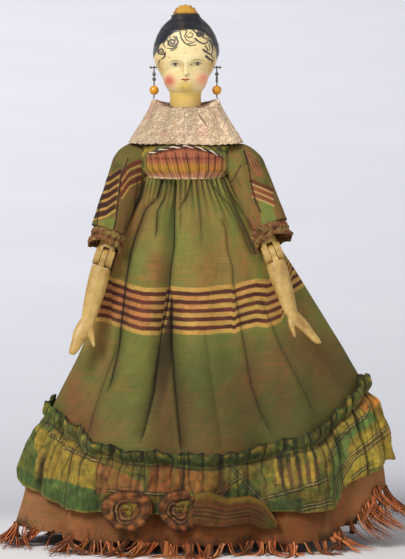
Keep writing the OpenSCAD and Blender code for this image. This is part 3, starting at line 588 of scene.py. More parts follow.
def back_tucks(q, z):
    """The tucks of the skirt's back, as tuck_fields gives them for its front."""
    sink, dark, t = np.zeros(len(q)), np.zeros(len(q)), 1 - z / WAIST_Z
    for a, b, d in ((62, 50, 1.4), (78, 74, 1.6), (95, 99, 1.8), (112, 124, 1.4), (128, 146, 1.2)):
        off = np.mod(q, 360) - a - (b - a) * t
        sink += d * np.exp(-np.abs(off / np.where(off < 0, 3.5, 1.5)) ** 1.3)
        # painted shade along the line of each back tuck
        dark = np.maximum(dark, 0.55 * peak(off, 0.7))
    return sink, dark


def gather_waist(q, z):
    near = smooth(158, 187, z)
    return 0.55 * near * cosd(46 * q + 25 * sind(5 * q))


SKIRT_GREEN, SKIRT_BROWN, SKIRT_RED = rgb(118, 118, 58), rgb(142, 114, 62), rgb(150, 98, 60)
MAROON, GOLD, SALMON = rgb(80, 44, 34), rgb(190, 150, 78), rgb(180, 112, 70)
STRIPE_MID, STRIPE_STEP = 121.8, 4.3


def skirt_paint(p, px, py, dark):
    pt = Paint(px, py, SKIRT_GREEN)
    n1, n2, n3 = noise(p, 26, 1, 3), noise(p, 55, 2), noise(p * [1, 1, .25], 9, 3)
    pt.over(SKIRT_BROWN, smooth(-0.35, 0.55, n1 + 0.35 * n3))
    pt.over(rgb(100, 102, 48), 0.5 * smooth(0.1, 0.8, -n2))
    for cx, cy, rx, ry, k in ((155, 268, 13, 16, .75), (118, 262, 8, 18, .5), (200, 225, 10, 18, .45),
                              (212, 262, 18, 26, .3), (130, 215, 9, 24, .5), (245, 275, 9, 24, .5),
                              (74, 405, 12, 40, .85), (92, 425, 16, 18, .7), (165, 400, 8, 60, .5),
                              (300, 330, 14, 30, .6), (252, 400, 16, 40, .35), (282, 395, 10, 40, .5),
                              (104, 350, 10, 26, .5), (320, 372, 14, 24, .45)):
        pt.blob(cx, cy, rx, ry, SKIRT_RED * 0.94, k)
    for cx, cy, rx, ry, k in ((205, 232, 14, 15, .6), (196, 205, 14, 14, .5), (172, 228, 5, 22, .6),
                              (137, 262, 10, 18, .7), (165, 215, 8, 16, .6), (234, 226, 5, 20, .8),
                              (112, 412, 18, 16, .5), (196, 368, 16, 26, .4), (146, 250, 8, 12, .4),
                              (228, 350, 12, 30, .35), (258, 335, 9, 22, .4)):
        pt.blob(cx, cy, rx, ry, rgb(106, 118, 58), k)
    # painted shade: the skirt darker towards the hem
    low = smooth(128, 70, p[:, 2])
    pt.c *= (1 - 0.17 * low)[:, None]
    face = smooth(2, -5, p[:, 1])
    # painted shade in the recess between the two middle tucks
    pt.area([(171, 306), (158, 352), (147, 420), (141, 446), (176, 456), (174, 400), (172, 350)],
            rgb(84, 70, 38), 3.0, .28, face)
    # painted shade low on the viewer's right and low, right of the middle
    pt.shade(.17 * smooth(226, 262, px) * smooth(318, 350, py))
    pt.shade(.16 * smooth(60, 30, np.abs(px - 205)) * smooth(320, 380, py))
    # the woven band: five maroon stripes between gold ones
    wob = 0.35 * noise(p, 14, 5, 1) + 0.12 * noise(p, 3, 6, 1)
    lift = np.interp(px, [104, 112, 122, 132, 143, 200, 228, 235, 236.5, 246, 256, 267, 281, 292, 304],
                     [4.6, 4.0, 2.6, 1.0, 0, 0, .2, .4, 1.2, 2.6, 3.6, 3.0, 5.5, 19, 22])
    lift = lift * smooth(40, -3, p[:, 1])
    lift = lift + .5 * (np.abs(px - 172) < 60) * np.sign(px - np.interp(py, [250, 350], [173, 158])) * face
    s = (p[:, 2] + wob - lift - STRIPE_MID) / STRIPE_STEP
    band = np.clip((2.78 - np.abs(s)) / 0.05, 0, 1)
    warm = smooth(-0.5, 0.5, noise(p, 20, 8) + np.where(px < 150, 0.5, 0) - np.where(px > 215, .35, 0))
    inner = smooth(2.3, 2.1, np.abs(s))
    between = GOLD[None] + (warm * inner * 0.8)[:, None] * (SALMON - GOLD)[None]
    between = between * (0.96 + 0.07 * noise(p, 1.6, 9, 1))[:, None]
    pt.c += band[:, None] * (between - pt.c)
    k = np.abs(s - np.round(s))
    stripe = np.clip((0.265 - k) / 0.05, 0, 1) * (np.abs(s) < 2.5)
    tone = MAROON[None] * (1.05 + 0.35 * noise(p, 8, 12))[:, None]
    pt.c += (stripe * band)[:, None] * (tone - pt.c)
    # deeper painted shade in the same recess
    pt.area([(172, 296), (168, 318), (160.5, 345), (153, 380), (145, 425), (156, 425), (166, 395),
             (172, 360), (173, 320)], rgb(44, 34, 20), 3.0, .8, face * smooth(430, 345, py))
    # painted shade along the tucks and gathers, and painted shadows of the sleeves on the skirt beside them
    pt.shade(0.85 * dark)
    pt.stroke([(144, 184), (141, 198), (133, 211), (126, 227), (120, 242), (114, 257), (109, 274)], 4.4,
              rgb(34, 26, 16), 2.2, .72, 0, face)
    pt.stroke([(221, 176), (230, 196), (238, 216), (247, 236), (255, 254)], 3.6,
              rgb(40, 30, 18), 2.2, .6, 0, face)
    pt.c *= (1 + .07 * noise(p, 5, 15, 3))[:, None]
    return pt.c


def make_skirt():
    """The olive overskirt, from the waist to the flounce's sewn line and a little below."""
    q = columns(520, 260)
    z = np.concatenate([np.linspace(WAIST_Z, 162, 36, endpoint=False),
                        np.linspace(162, 104, 166, endpoint=False),
                        np.linspace(104, 40, 88), np.linspace(39.2, 0, 14)])
    low = flounce_low(q) + 0.45
    zz = np.concatenate([np.where(h > 60, h, low + (60 - low) * (h / 60)) for h in z])
    qq = np.tile(q, len(z))
    flat = bell_point(qq, zz, 0.0)
    px, py = to_px(flat)
    front = smooth(-2, -8, flat[:, 1])
    sink, dark = tuck_fields(px, py, front)
    back = smooth(2, 8, flat[:, 1])
    bs, bd = back_tucks(qq, zz)
    sink, dark = sink + back * bs, np.maximum(dark, back * bd)
    out = -sink + gather_waist(qq, zz)
    out += 0.25 * noise(flat, 16, 21) * smooth(186, 150, flat[:, 2])
    side = np.maximum(peak(qq - 184, 24), .5 * peak(qq - 356, 24))
    out += 2.4 * side * smooth(189, 184, zz) * smooth(146, 166, zz)
    folds = 46 * qq + 25 * sind(5 * qq)
    # painted shade in the hollows of the gathers at the waist
    dark = np.maximum(dark, 0.5 * smooth(0.1, 1, -cosd(folds)) * smooth(168, 187, zz))
    v = bell_point(qq, zz, out)
    px, py = to_px(v)
    paint = skirt_paint(v, px, py, dark)
    cl = arc_lengths(v.reshape(len(z), len(q), 3))
    o = make("skirt_cloth", v, grid(len(z), len(q)), M["skirt"], "torso", ["skirt"], 0.3,
             paint, cl)


# Petticoat with its torn hem.
TERRA, TERRA_DARK, TERRA_PALE = rgb(136, 88, 52), rgb(80, 48, 28), rgb(168, 122, 80)


def hem_out(q, z):
    """The petticoat's hem spreads a little near the floor, most at the sides."""
    c = np.abs(cosd(q))
    return smooth(30, 0, z) * (0.6 + 5.0 * c ** 8)


def hem_edge(v, q):
    """How high the petticoat's hem is torn: ragged all round, and most at the viewer's right."""
    px, _ = to_px(v)
    flat = points(v[:, 0], v[:, 1], 0 * q)
    front = smooth(20, -10, v[:, 1])
    edge = 2.4 + 2.6 * front + 3.2 * noise(flat, 9, 36) + 2.2 * noise(flat, 2.4, 39)
    sides = 24 * smooth(318, 392, px) ** 1.2 + 5 * smooth(60, 22, px)
    return np.clip(edge + smooth(34, 4, v[:, 1]) * sides, 0.1, 31)


def make_petticoat():
    q = columns(460, 150)
    z = np.concatenate([np.linspace(WAIST_Z, 60, 40, endpoint=False), np.linspace(60, 0.15, 120)])
    qq, zz = places(q, z)
    base = bell_point(qq, zz, -1.25)
    px, py = to_px(base)
    sink, _ = tuck_fields(px, py, smooth(-2, -8, base[:, 1]))
    back = back_tucks(qq, zz)[0]
    out = -1.45 - 1.15 * np.maximum(sink, 0) - back * smooth(2, 8, base[:, 1])
    ripple = 1.2 * noise(base * [1, 1, .35], 9, 31) + .5 * noise(base * [1, 1, .3], 3, 32)
    out = out + smooth(45, 5, zz) * ripple
    out = out + hem_out(qq, zz) * 0.6
    v = bell_point(qq, zz, out)
    px, py = to_px(v)
    n1, n2 = noise(v, 18, 33, 3), noise(v * [1, 1, .3], 4, 34)
    pt = Paint(px, py, TERRA)
    pt.over(TERRA_DARK, 0.6 * smooth(0.0, 0.9, n1))
    pt.over(TERRA_PALE, 0.5 * smooth(0.15, 0.8, n2))
    # painted shade: the ends paler, the middle under the flounce darker and redder
    pt.over(TERRA_PALE, .5 * smooth(70, 40, px) + .35 * smooth(345, 365, px))
    pt.shade(0.2 * smooth(70, 130, px) * smooth(345, 320, px))
    pt.c *= 1 + (smooth(90, 150, px) * smooth(330, 300, px))[:, None] * [.06, -.04, -.16]
    edge = hem_edge(v, qq)
    pt.shade(0.5 * smooth(7, 0, zz - edge) * smooth(-.4, .5, n2))
    cut = zz < edge - .15
    cl = arc_lengths(v.reshape(len(z), len(q), 3))
    o = make("petticoat_cloth", v, grid(len(z), len(q)), M["petticoat"], "torso", ["petticoat"],
             0.3, pt.c, cl, cut=cut)
    fringe = make_fringe()


def make_fringe():
    """Frayed locks of thread that hang from the torn hem, curl and lie on the floor."""
    rng = np.random.default_rng(5)
    bag = Bag()
    locks = np.concatenate([rng.uniform(186, 354, 50), np.linspace(232, 322, 26), rng.uniform(0, 180, 26),
                            rng.uniform(330, 362, 12), rng.uniform(178, 206, 10)])
    for k, mid in enumerate(locks):
        big = rng.random() ** .8
        lean, curl, lift = rng.normal(0, .85), rng.normal(0, 1.9), rng.uniform(.3, 1.6)
        reach = 6 + 10.5 * big
        tone = TERRA * [.95, .88, .86] * rng.uniform(.8, 1.3) + np.array([.07, 0, -.01]) * rng.random()
        for j in range(int(3 + 6 * big)):
            q = np.array([mid + rng.normal(0, .55)])
            at = bell_point(q, np.array([4.0]), -.9)
            top = hem_edge(at, q)
            z0 = np.clip(top + rng.uniform(.3, 1.6), .9, 31)
            base = bell_point(q, z0, -1.2 + hem_out(q, z0) * .6)[0]
            ahead = bell_point(q, z0, 5.0)[0] - base
            ahead[2] = 0
            ahead /= np.linalg.norm(ahead) + 1e-9
            aside = np.array([-ahead[1], ahead[0], 0])
            c = abs(math.cos(math.radians(mid)))
            length = reach * rng.uniform(.65, 1.15) * (1 - .25 * c ** 4) + .2 * z0[0]
            length = length * (.8 if mid % 360 < 180 else 1.2)
            t = np.linspace(0, 1, 20)
            way = np.clip(lean + rng.normal(0, .16) + (curl + rng.normal(0, .5)) * t, -1.9, 1.9)
            step = np.cos(way)[:, None] * ahead[None] + np.sin(way)[:, None] * aside[None]
            path = base[None] + ahead[None] * .8 * t[:, None]
            path = path + np.cumsum(step, 0) * (length / 20) * (.35 + .65 * t)[:, None]
            if z0[0] < 7:
                fall = z0[0] * (1 - smooth(0, .55, t))
            else:
                fall = z0[0] - min(z0[0] - .4, 11 + 4 * big) * t ** .8
            path[:, 2] = np.maximum(.34, fall + lift * np.abs(np.sin(4 * t + k)) * t * (1 - t) * 2.4)
            path[:, :2] = np.clip(path[:, :2], [-100.6, -70], [120.5, 62])
            broad = j == 0 and k % 2 == 0
            r = rng.uniform(1.0, 1.7) if broad else rng.uniform(.28, .68)
            r = r * (1 - .85 * t ** 1.8) * (1 + .2 * np.sin(t * 17 + k))
            path[:, 2] = np.maximum(path[:, 2], r * (.4 if broad else .8) + .04)
            v, f = tube(path, r, 6, .3 if broad else .7)
            v[:, 2] = np.maximum(v[:, 2], .02)
            own = tone * rng.uniform(.82, 1.18)
            if rng.random() < .16:
                own = rgb(196, 122, 80)
            if rng.random() < .28:
                own = TERRA_DARK * .95
            bag.add(v, f, np.clip(own, 0, 1))
    v, f, p = bag.done()
    return make("hem_fringe", v, f, M["fringe"], "torso", (), 0, p, v[:, :2])


# Flounce.
F_GREEN, F_DARK, F_OCHRE, F_YELLOW = rgb(92, 108, 58), rgb(62, 80, 44), rgb(148, 128, 58), rgb(178, 152, 66)
F_SALMON, F_CREAM, F_INK = rgb(172, 116, 70), rgb(206, 190, 142), rgb(34, 26, 20)


def pair_line(pt, pts, width=1.0, gap=1.1):
    """A cream line with a dark line beside it, as woven in the flounce's silk."""
    pts = np.array(pts, float)
    pt.stroke(pts + [0.3, gap + .3], width * 1.3, F_INK, .6, .85)
    pt.stroke(pts - [0.3, gap + .2], width * 1.1, F_INK, .6, .75)
    pt.stroke(pts, width, F_CREAM * .92, .6, .85)


def flounce_paint(v, t, wave, fine):
    px, py = to_px(v)
    px = px + 1.1 * noise(v, 5, 41)
    py = py + 1.1 * noise(v, 5, 42)
    pt = Paint(px, py, F_OCHRE)
    n = noise(v, 12, 43, 3)
    pt.over(F_GREEN, smooth(-.2, .6, n))
    # left end: green puffs round an ochre field
    pt.area([(18, 395), (58, 398), (62, 420), (40, 445), (34, 480), (60, 512), (20, 512)], F_GREEN)
    pt.area([(36, 424), (62, 440), (98, 456), (96, 490), (64, 486), (44, 468), (34, 446)], F_OCHRE)
    pt.area([(66, 452), (98, 460), (94, 488), (70, 484)], F_YELLOW * .9)
    pt.area([(58, 480), (98, 490), (100, 514), (62, 516), (44, 500), (40, 478)], F_DARK * 1.3)
    pt.area([(96, 462), (118, 470), (142, 482), (145, 494), (112, 494), (97, 492)], F_SALMON)
    pt.area([(150, 465), (174, 464), (172, 492), (148, 492)], F_SALMON * [.98, .9, .84])
    pt.area([(176, 468), (204, 472), (204, 492), (174, 490)], F_SALMON * [1.02, 1.02, .9])
    pt.area([(206, 470), (232, 472), (230, 494), (206, 492)], F_OCHRE * [1.05, .88, .85])
    pt.area([(232, 466), (262, 492), (262, 500), (222, 496), (240, 480)], F_GREEN * .92)
    pt.area([(228, 466), (245, 478), (236, 488), (222, 478)], rgb(150, 140, 64))
    pt.area([(256, 464), (276, 466), (278, 492), (262, 498)], rgb(148, 142, 66))
    # the panel of slanting stripes
    slant = (px - 280) - 0.16 * (py - 440)
    zebra = np.clip(0.5 - np.cos(slant * 2 * math.pi / 9.0) * 1.3, 0, 1)
    box = smooth(271, 274, px - .05 * (py - 440)) * smooth(315, 311, px - .16 * (py - 440))
    box = box * smooth(492, 482, py)
    low_tone = rgb(112, 84, 62) + smooth(468, 456, py)[:, None] * (rgb(76, 80, 54) - rgb(112, 84, 62))
    light = rgb(190, 160, 78) + smooth(452, 444, py)[:, None] * (rgb(120, 124, 66) - rgb(190, 160, 78))
    pt.c += (box * .92)[:, None] * (light + smooth(.3, .7, zebra)[:, None] * (low_tone - light) - pt.c)
    # right end: bands that run with the edge
    pt.area([(312, 420), (335, 400), (350, 392), (352, 414), (335, 436), (322, 470), (310, 440)],
            rgb(168, 150, 72))
    pt.area([(332, 470), (336, 440), (352, 424), (372, 412), (378, 420), (350, 440), (340, 500), (330, 500)],
            rgb(106, 128, 72))
    pt.area([(340, 500), (344, 462), (362, 436), (384, 420), (396, 440), (398, 462), (370, 470), (346, 512)],
            rgb(170, 150, 66))
    pt.area([(352, 388), (376, 384), (382, 402), (366, 414), (356, 404)], rgb(206, 138, 66))
    pt.area([(396, 424), (404, 436), (400, 444), (388, 430)], rgb(206, 148, 100))
    # the header above the sewn line
    head_t = 0.2 + 0.03 * noise(v, 9, 44, 1)
    head = smooth(head_t + .02, head_t - .02, t)
    pt.over(F_GREEN * .92, head * .9)
    pt.over(F_OCHRE * .8, head * .6 * patches(v, 7, 62, .0, .5))
    pt.over(F_INK, .8 * smooth(.03, .0, t) * patches(v, 2.4, 63, -.5, .1, 1))
    pt.over(rgb(168, 142, 66), head * smooth(.1, .05, t) * smooth(.02, .045, t)
            * patches(v, 3, 45, -.3, .4, 1))
    pt.c += (box * head * smooth(.3, .7, zebra) * .6)[:, None] * (rgb(58, 66, 48) - pt.c)
    # lower border: green with a gold edge
    lowb = smooth(.78, .84, t) * smooth(318, 300, px)
    pt.over(F_DARK * 1.15, .8 * lowb)
    pt.over(rgb(150, 126, 60), smooth(.96, .985, t) * .8)
    for line in ([(46, 424), (50, 434), (64, 444)], [(64, 448), (80, 454), (104, 463)],
                 [(108, 490), (130, 492), (172, 494)], [(262, 498), (290, 491), (318, 482), (326, 478)],
                 [(204, 494), (222, 495), (232, 482), (245, 474)], [(256, 462), (262, 486), (268, 500)],
                 [(228, 464), (246, 484), (266, 503)], [(303, 506), (330, 500)],
                 [(328, 458), (336, 442), (350, 428), (364, 418), (372, 404)],
                 [(334, 500), (336, 478), (350, 456), (372, 440), (392, 424)],
                 [(338, 503), (341, 480), (354, 459), (375, 443), (396, 428)],
                 [(300, 510), (330, 503)], [(352, 478), (362, 470), (372, 463)],
                 [(145, 444), (140, 456), (136, 468)], [(208, 448), (214, 440), (220, 436)]):
        pair_line(pt, line)
    # creases in painted shade with a painted highlight beside them, the sewn line under the header, and
    # painted shade between the gathers
    for size, seed, k in ((7, 58, .5), (4.2, 59, .38)):
        thin = np.abs(noise(v * [1, 1, .42], size, seed))
        pt.over(F_INK, k * smooth(.05, .0, thin) * patches(v, 11, seed + 5, -.3, .3, 1))
        pt.over(F_CREAM, .22 * smooth(.04, .0, np.abs(thin - .1)) * patches(v, 9, seed + 9, 0, .5, 1))
    pt.over(F_INK, .55 * peak(t - head_t - .02, .018))
    pt.over(rgb(196, 184, 130), .4 * peak(t - head_t + .015, .012) * patches(v, 2.2, 46, -.2, .4, 1))
    pt.c *= (1 + .2 * noise(v, 2.4, 48) + .12 * noise(v * [1, 1, .3], 1.0, 49, 1))[:, None]
    pt.over(rgb(150, 128, 60), .3 * patches(v, 6, 50, .1, .6))
    pt.shade((0.22 + .4 * patches(v, 14, 77, -.2, .5, 1)) * smooth(0.42, 0.05, wave))
    pt.shade(0.55 * smooth(0.4, 0.05, fine) * np.interp(t, [0, .2, .34, .7, 1], [1, 1, .8, .25, .1]))
    # painted shade: the middle darker
    pt.shade(.22 * smooth(60, 130, px) * smooth(345, 300, px))
    pt.c *= (1 + .1 * noise(v, 3.5, 47))[:, None]
    # painted shade in a band at the viewer's right
    pt.shade(.14 * smooth(312, 322, px) * smooth(352, 336, px))
    pt.c *= 1 + (box * .14)[:, None] * [1, 1, .4]
    return pt.c * [.9, .885, .775]


def make_flounce():
    q = columns(560, 200)
    t = np.linspace(0, 1, 84)
    qq, tt = places(q, t)
    top, low = flounce_top(qq), flounce_low(qq)
    zz = top + (low - top) * tt
    rest = points(qq * 1.1, 0 * qq, 0 * qq)
    field = points(qq * .9, tt * 16, 0 * tt)
    ph = 22 * qq + 120 * noise(rest, 20, 51) + 46 * noise(field, 12, 56)
    wave = np.abs(cosd(ph / 2)) ** .75
    fine = np.abs(cosd(36 * qq + 260 * noise(rest, 12, 52) + 70 * noise(field, 6, 57))) ** .8
    seam = peak(tt - 0.2, .05)
    puff = np.interp(tt, [0, .1, .2, .32, .62, .85, 1], [.75, .6, .05, .6, 1.0, .9, .8])
    out = 1.9 + 3.6 * puff * (0.2 + 0.8 * wave)
    out += 2.0 * (fine - .5) * (1 - seam) * np.interp(tt, [0, .12, .4, 1], [1.3, .9, .7, .35])
    out += 1.2 * noise(points(qq, tt * 24, 0 * tt), 5, 53) * (1 - seam)
    out -= 1.0 * seam
    zz = zz + 2.2 * noise(rest, 2.6, 54) * np.interp(tt, [0, .12, 1], [1, 0, 0])
    zz = zz + 1.6 * noise(rest, 6, 55) * np.interp(tt, [0, .85, 1], [0, 0, 1])
    v = bell_point(qq, zz, out)
    # sagging swags between the gathers
    v[:, 2] -= 1.0 * np.sin(math.pi * tt) * wave
    paint = flounce_paint(v, tt, wave, fine)
    cl = arc_lengths(v.reshape(len(t), len(q), 3))
    o = make("flounce_cloth", v, grid(len(t), len(q)), M["flounce"], "torso", ["flounce"],
             0.35, paint, cl)


# Rosettes and ribbon.
def front_y(x, z, out):
    half = np.where(x > 0, HEM_LEFT * bell(z, 1), HEM_RIGHT * bell(z, 2))
    power = 2 - 0.3 * (1 - z / WAIST_Z)
    q = 360 - np.degrees(np.arccos(np.clip(signed_power(x / half, power / 2), -1, 1)))
    return bell_point(q, z, out)[:, 1]


def make_rosette(name, cx, cz, rx, rz, seed, node):
    """A rose of rolled cloth: a thick salmon rim, striped inner folds and an olive heart."""
    n, m = 72, 150
    r = np.linspace(0.001, 1, n)
    a = np.linspace(0, 2 * math.pi, m, endpoint=False)
    aa, rr = places(a, r)
    flat = points(rr * np.cos(aa) * 6, rr * np.sin(aa) * 6, 0 * rr)
    wob = noise(flat, 2.6, seed)
    turns = rr * 2.6 + .75 * wob + .25 * np.cos(aa + 1) + .16 * np.cos(3 * aa)
    ridge = 0.5 + 0.5 * np.cos(2 * math.pi * turns)
    height = np.interp(rr, [0, .2, .45, .62, .82, .95, 1], [1.6, 2.2, 2.3, 3.4, 3.8, 2.0, 0])
    height += ridge * np.interp(rr, [0, .5, .7, 1], [.6, 1, .25, 0])
    height += .5 * wob * np.interp(rr, [0, .9, 1], [1, 1, 0])
    height += .5 * np.cos(aa * 9 + 2 * wob) * np.interp(rr, [0, .5, .85, 1], [0, .4, 1, .2])
    round_it = points(np.cos(aa) * 3, np.sin(aa) * 3, 0 * aa)
    edge = 1 + .06 * np.cos(3 * aa + seed) + .05 * noise(round_it, 1.6, seed + 3)
    x = cx + rr * edge * rx * np.cos(aa)
    z = cz + rr * edge * rz * np.sin(aa)
    y0 = front_y(np.array([cx]), np.array([max(cz, 23.0)]), 5.6)[0]
    y = y0 + 0.6 - height
    v = points(x, y, z)
    pt = Paint(x, z, rgb(132, 84, 50))
    pt.over(rgb(168, 112, 72), patches(v, 2.2, seed + 5, .1, .8))
    pt.over(rgb(84, 50, 30), .75 * smooth(.1, .7, -noise(v, 2.6, seed + 6)))
    pt.over(rgb(70, 40, 26), .5 * smooth(.08, 0, np.abs(noise(v, 2.4, seed + 8))))
    inner = smooth(.68, .6, rr + .05 * wob)
    pt.over(rgb(104, 72, 46), inner * .8)
    lines = np.cos(2 * math.pi * (rr * 5.4 + .7 * wob + .35 * np.sin(aa + .6)))
    part = inner * smooth(.2, .3, rr) * smooth(.9, -1.4, (x - cx) * .8 + (z - cz) * .7 + 1.2 * wob)
    pt.over(rgb(48, 32, 24), part * smooth(.2, .6, lines) * .85)
    pt.over(rgb(168, 140, 104), part * smooth(.5, .85, -lines) * .55)
    tri = [(-3.6, 4.4), (.6, 5.4), (6.2, 3.8), (3.0, -.8), (.8, -5.8), (-1.2, -1.6)]
    if name == "inner_rose":
        tri = [(-2.6, 4.6), (3.0, 7.0), (7.6, 5.4), (6.0, .6), (1.4, -.8), (-2.6, .8)]
    tri = [(cx + a, cz + b) for a, b in tri]
    pt.area(tri, rgb(64, 44, 26), 1.2, .8)
    pt.area([(cx + (a - cx) * .82, cz + (b - cz) * .82) for a, b in tri], rgb(122, 106, 46), .8, .95)
    # painted shade in the hollows of the rolled folds, in the rim's creases and at the rim's edge
    pt.shade(.3 * smooth(.3, 0, ridge) * inner)
    pt.shade(.34 * smooth(.4, -.6, np.cos(aa * 9 + 2 * wob)) * smooth(.55, .7, rr))
    pt.shade(.45 * smooth(.9, 1, rr))
    pt.c *= [.88, .82, .7] if name == "inner_rose" else [1.0, .95, .84]
    o = make(name, v, grid(n, m, wrap=True), M["rosette"], "torso", [node], 0.4, pt.c,
             flat[:, :2])


def make_ribbon():
    """The striped streamer from the inner rosette: gold edge, brown middle and dark lines."""
    n, m = 120, 26
    t = np.linspace(0, 1, n)
    s = np.linspace(0, 1, m)
    cx = np.interp(t, [0, .3, .55, .8, 1], [px_x(196), px_x(222), px_x(246), px_x(264), px_x(277)])
    top = np.interp(t, [0, .15, .35, .6, .8, 1], [491, 489, 497, 496, 503, 524])
    low = np.interp(t, [0, .15, .35, .6, .8, 1], [522, 524, 526, 524, 531, 529])
    ss, tt = places(s, t)
    py = np.interp(tt, t, top) * (1 - ss) + np.interp(tt, t, low) * ss
    x = np.interp(tt, t, cx) - 2.0 * ss * (1 - tt)
    z = px_z(py, -48.0)
    p = points(x, 0 * x, z)
    y = front_y(x, np.clip(z, 23, 60), 5.2) - 0.6 - 0.9 * np.sin(math.pi * ss)
    y = y - .7 * noise(p, 5, 71) - .8 * peak(ss - .2, .12)
    v = points(x, y, z)
    px, _ = to_px(v)
    pt = Paint(px, py, rgb(116, 78, 46))
    pt.over(rgb(146, 100, 64), patches(v, 5, 72, 0, .8))
    gold = smooth(.24, .14, ss + .05 * noise(v, 3, 73))
    pt.over(rgb(140, 116, 52), gold)
    pt.over(rgb(98, 104, 46), smooth(.7, .9, tt) * .7 * smooth(.1, .6, ss))
    for c in (.46, .58, .70):
        pt.over(rgb(40, 24, 18), .9 * peak(ss - c, .022) * smooth(.86, .74, tt))
        pt.over(rgb(176, 152, 116), .5 * peak(ss - c - .045, .018) * smooth(.86, .74, tt))
    # painted shade along both edges, where the ribbon turns back to the skirt
    pt.shade(.5 * smooth(.04, 0, ss) + .3 * smooth(.96, 1, ss))
    pt.c *= (1 + .2 * noise(v, 4, 74))[:, None] * [.72, .66, .5]
    f = grid(n, m, flip=True)[:, ::-1]
    cl = points(tt * 44, ss * 15)
    o = make("ribbon_cloth", v, f, M["ribbon"], "torso", ["ribbon_streamer"], 0.35, pt.c, cl)


# Bodice, cord and collar.
SHOULDER_Z = 197.0
CHEST_X, CHEST_Y = 21.7, 13.0
WAIST_X, WAIST_Y = 18.8, 11.5


def make_bodice():
    """The bodice: pleats that fan out from the waist, below a plain yoke."""
    q = np.linspace(90, 450, 561)
    s = np.linspace(0, 1, 44)
    qq, ss = places(q, s)
    top = SHOULDER_Z + 7.7 - 1.0 * cosd(qq) ** 2
    z = top + (187.6 - top) * ss
    mid = smooth(SHOULDER_Z - 4.5, 188, z)
    a = CHEST_X + (WAIST_X - CHEST_X) * mid
    b = CHEST_Y + (WAIST_Y - CHEST_Y) * mid
    rest = points(qq * .35, 0 * qq, 0 * qq)
    fan = (1 - ss) * np.interp(qq, [180, 225, 262, 300, 360], [0, 13, 8, -2, 0])
    flat = points(qq * .4, z * .3, 0 * z)
    ph = 30 * (qq - 270 + fan) + 130 * noise(rest, 7, 81) + 30 * noise(flat, 4, 80, 1)
    pleat = np.abs(((ph / 360) % 1) * 2 - 1) ** .7
    small = np.abs(sind(ph * 1.37 + 40))
    body = smooth(.10, .3, ss)
    r = 0.7 + body * pleat + .35 * body * small + .35 * np.sin(math.pi * ss)
    r += .25 * noise(points(qq * .4, z, 0 * z), 3, 82)
    c, sn = cosd(qq), sind(qq)
    v = points((a + r) * c, (b + r) * sn, z)
    px, py = to_px(v)
    pt = Paint(px, py, rgb(160, 94, 68))
    gold = smooth(.46, .58, ss + .07 * noise(v, 5, 83)) * smooth(.92, .8, ss)
    pt.over(rgb(176, 126, 50), gold * (.92 - .4 * smooth(198, 212, px)))
    pink = smooth(.76, .86, ss + .06 * noise(v, 3, 84))
    pt.over(rgb(196, 138, 112), pink * .9)
    pt.over(rgb(228, 204, 160), smooth(.93, .98, ss + .05 * noise(v, 1.5, 85)) * .8)
    stripe = smooth(.3, .36, ss) * smooth(.44, .38, ss)
    pt.over(rgb(112, 52, 42), stripe * .5)
    side = smooth(31, 46, np.abs(px - 186) + 2 * noise(v, 5, 86, 1))
    pt.over(rgb(120, 124, 66), side)
    pt.over(rgb(166, 122, 70), side * patches(v, 5, 87, 0, .6) * .7)
    # the yoke is above the cord and the pleats are below it
    yoke = smooth(-.3, .3, z - cord_height(qq))
    pt.over(rgb(112, 112, 62), yoke)
    pt.over(rgb(200, 160, 60), yoke * patches(v, 4, 88, .0, .5) * .8)
    pt.over(rgb(44, 38, 26), yoke * patches(v, 3, 89, .1, .6) * .6)
    # painted shade in the pleats' hollows and small folds, a darker red in those folds, and a painted
    # highlight on the pleats' ridges
    pt.shade(.7 * smooth(.3, .08, pleat) * body * (1 - yoke) * (.5 + .5 * patches(rest, 3, 91, -.3, .3, 1)))
    pt.shade(.3 * smooth(.35, .05, small) * body)
    pt.over(rgb(150, 74, 58), .4 * smooth(.3, .1, small) * body * (1 - yoke) * (1 - gold))
    pt.over(rgb(222, 170, 120), .25 * smooth(.8, 1, pleat) * body * (1 - yoke) * (1 - side))
    radius = np.hypot(v[:, 1], v[:, 2] - SHOULDER_Z)
    cut = (radius < 5.4) & (np.abs(v[:, 0]) > 14)
    cl = arc_lengths(v.reshape(len(s), len(q), 3))
    o = make("bodice_cloth", v, grid(len(s), len(q)), M["bodice"], "torso", ["bodice"], 0.3,
             pt.c, cl, cut=cut)


def cord_height(q):
    s = sind(q - 270)
    return SHOULDER_Z + 7.4 - (6.8 + 2.6 * (s > 0)) * s ** 2


def make_cord():
    """Two strands, one dark and one cream, twisted along the bodice's top."""
    bag = Bag()
    q = np.linspace(270 - 49, 270 + 49, 420)
    off = 2.3 - .8 * sind(q) ** 8
    a, b = CHEST_X + off, CHEST_Y + off
    mid = points(a * cosd(q), b * sind(q), cord_height(q))
    for k, col in ((0, rgb(58, 34, 30)), (1, rgb(232, 214, 196))):
        ph = np.radians(q * 22 + 180 * k)
        out = mid.copy()
        out[:, 2] += 0.36 * np.cos(ph)
        nrm = points(cosd(q), sind(q), 0 * q)
        out += nrm * (0.36 * np.sin(ph))[:, None]
        v, f = tube(out, 0.33 if k else 0.43, 8)
        worn = noise(v, 4, 95 + k)
        c = np.tile(col, (len(v), 1))
        c += (smooth(.1, .7, worn) * .5)[:, None] * (rgb(150, 84, 62) - c)
        bag.add(v, f, c)
    v, f, p = bag.done()
    make("bodice_cord_strands", v, f, M["cord"], "torso", ["bodice_cord"], 0, p, v[:, :2])


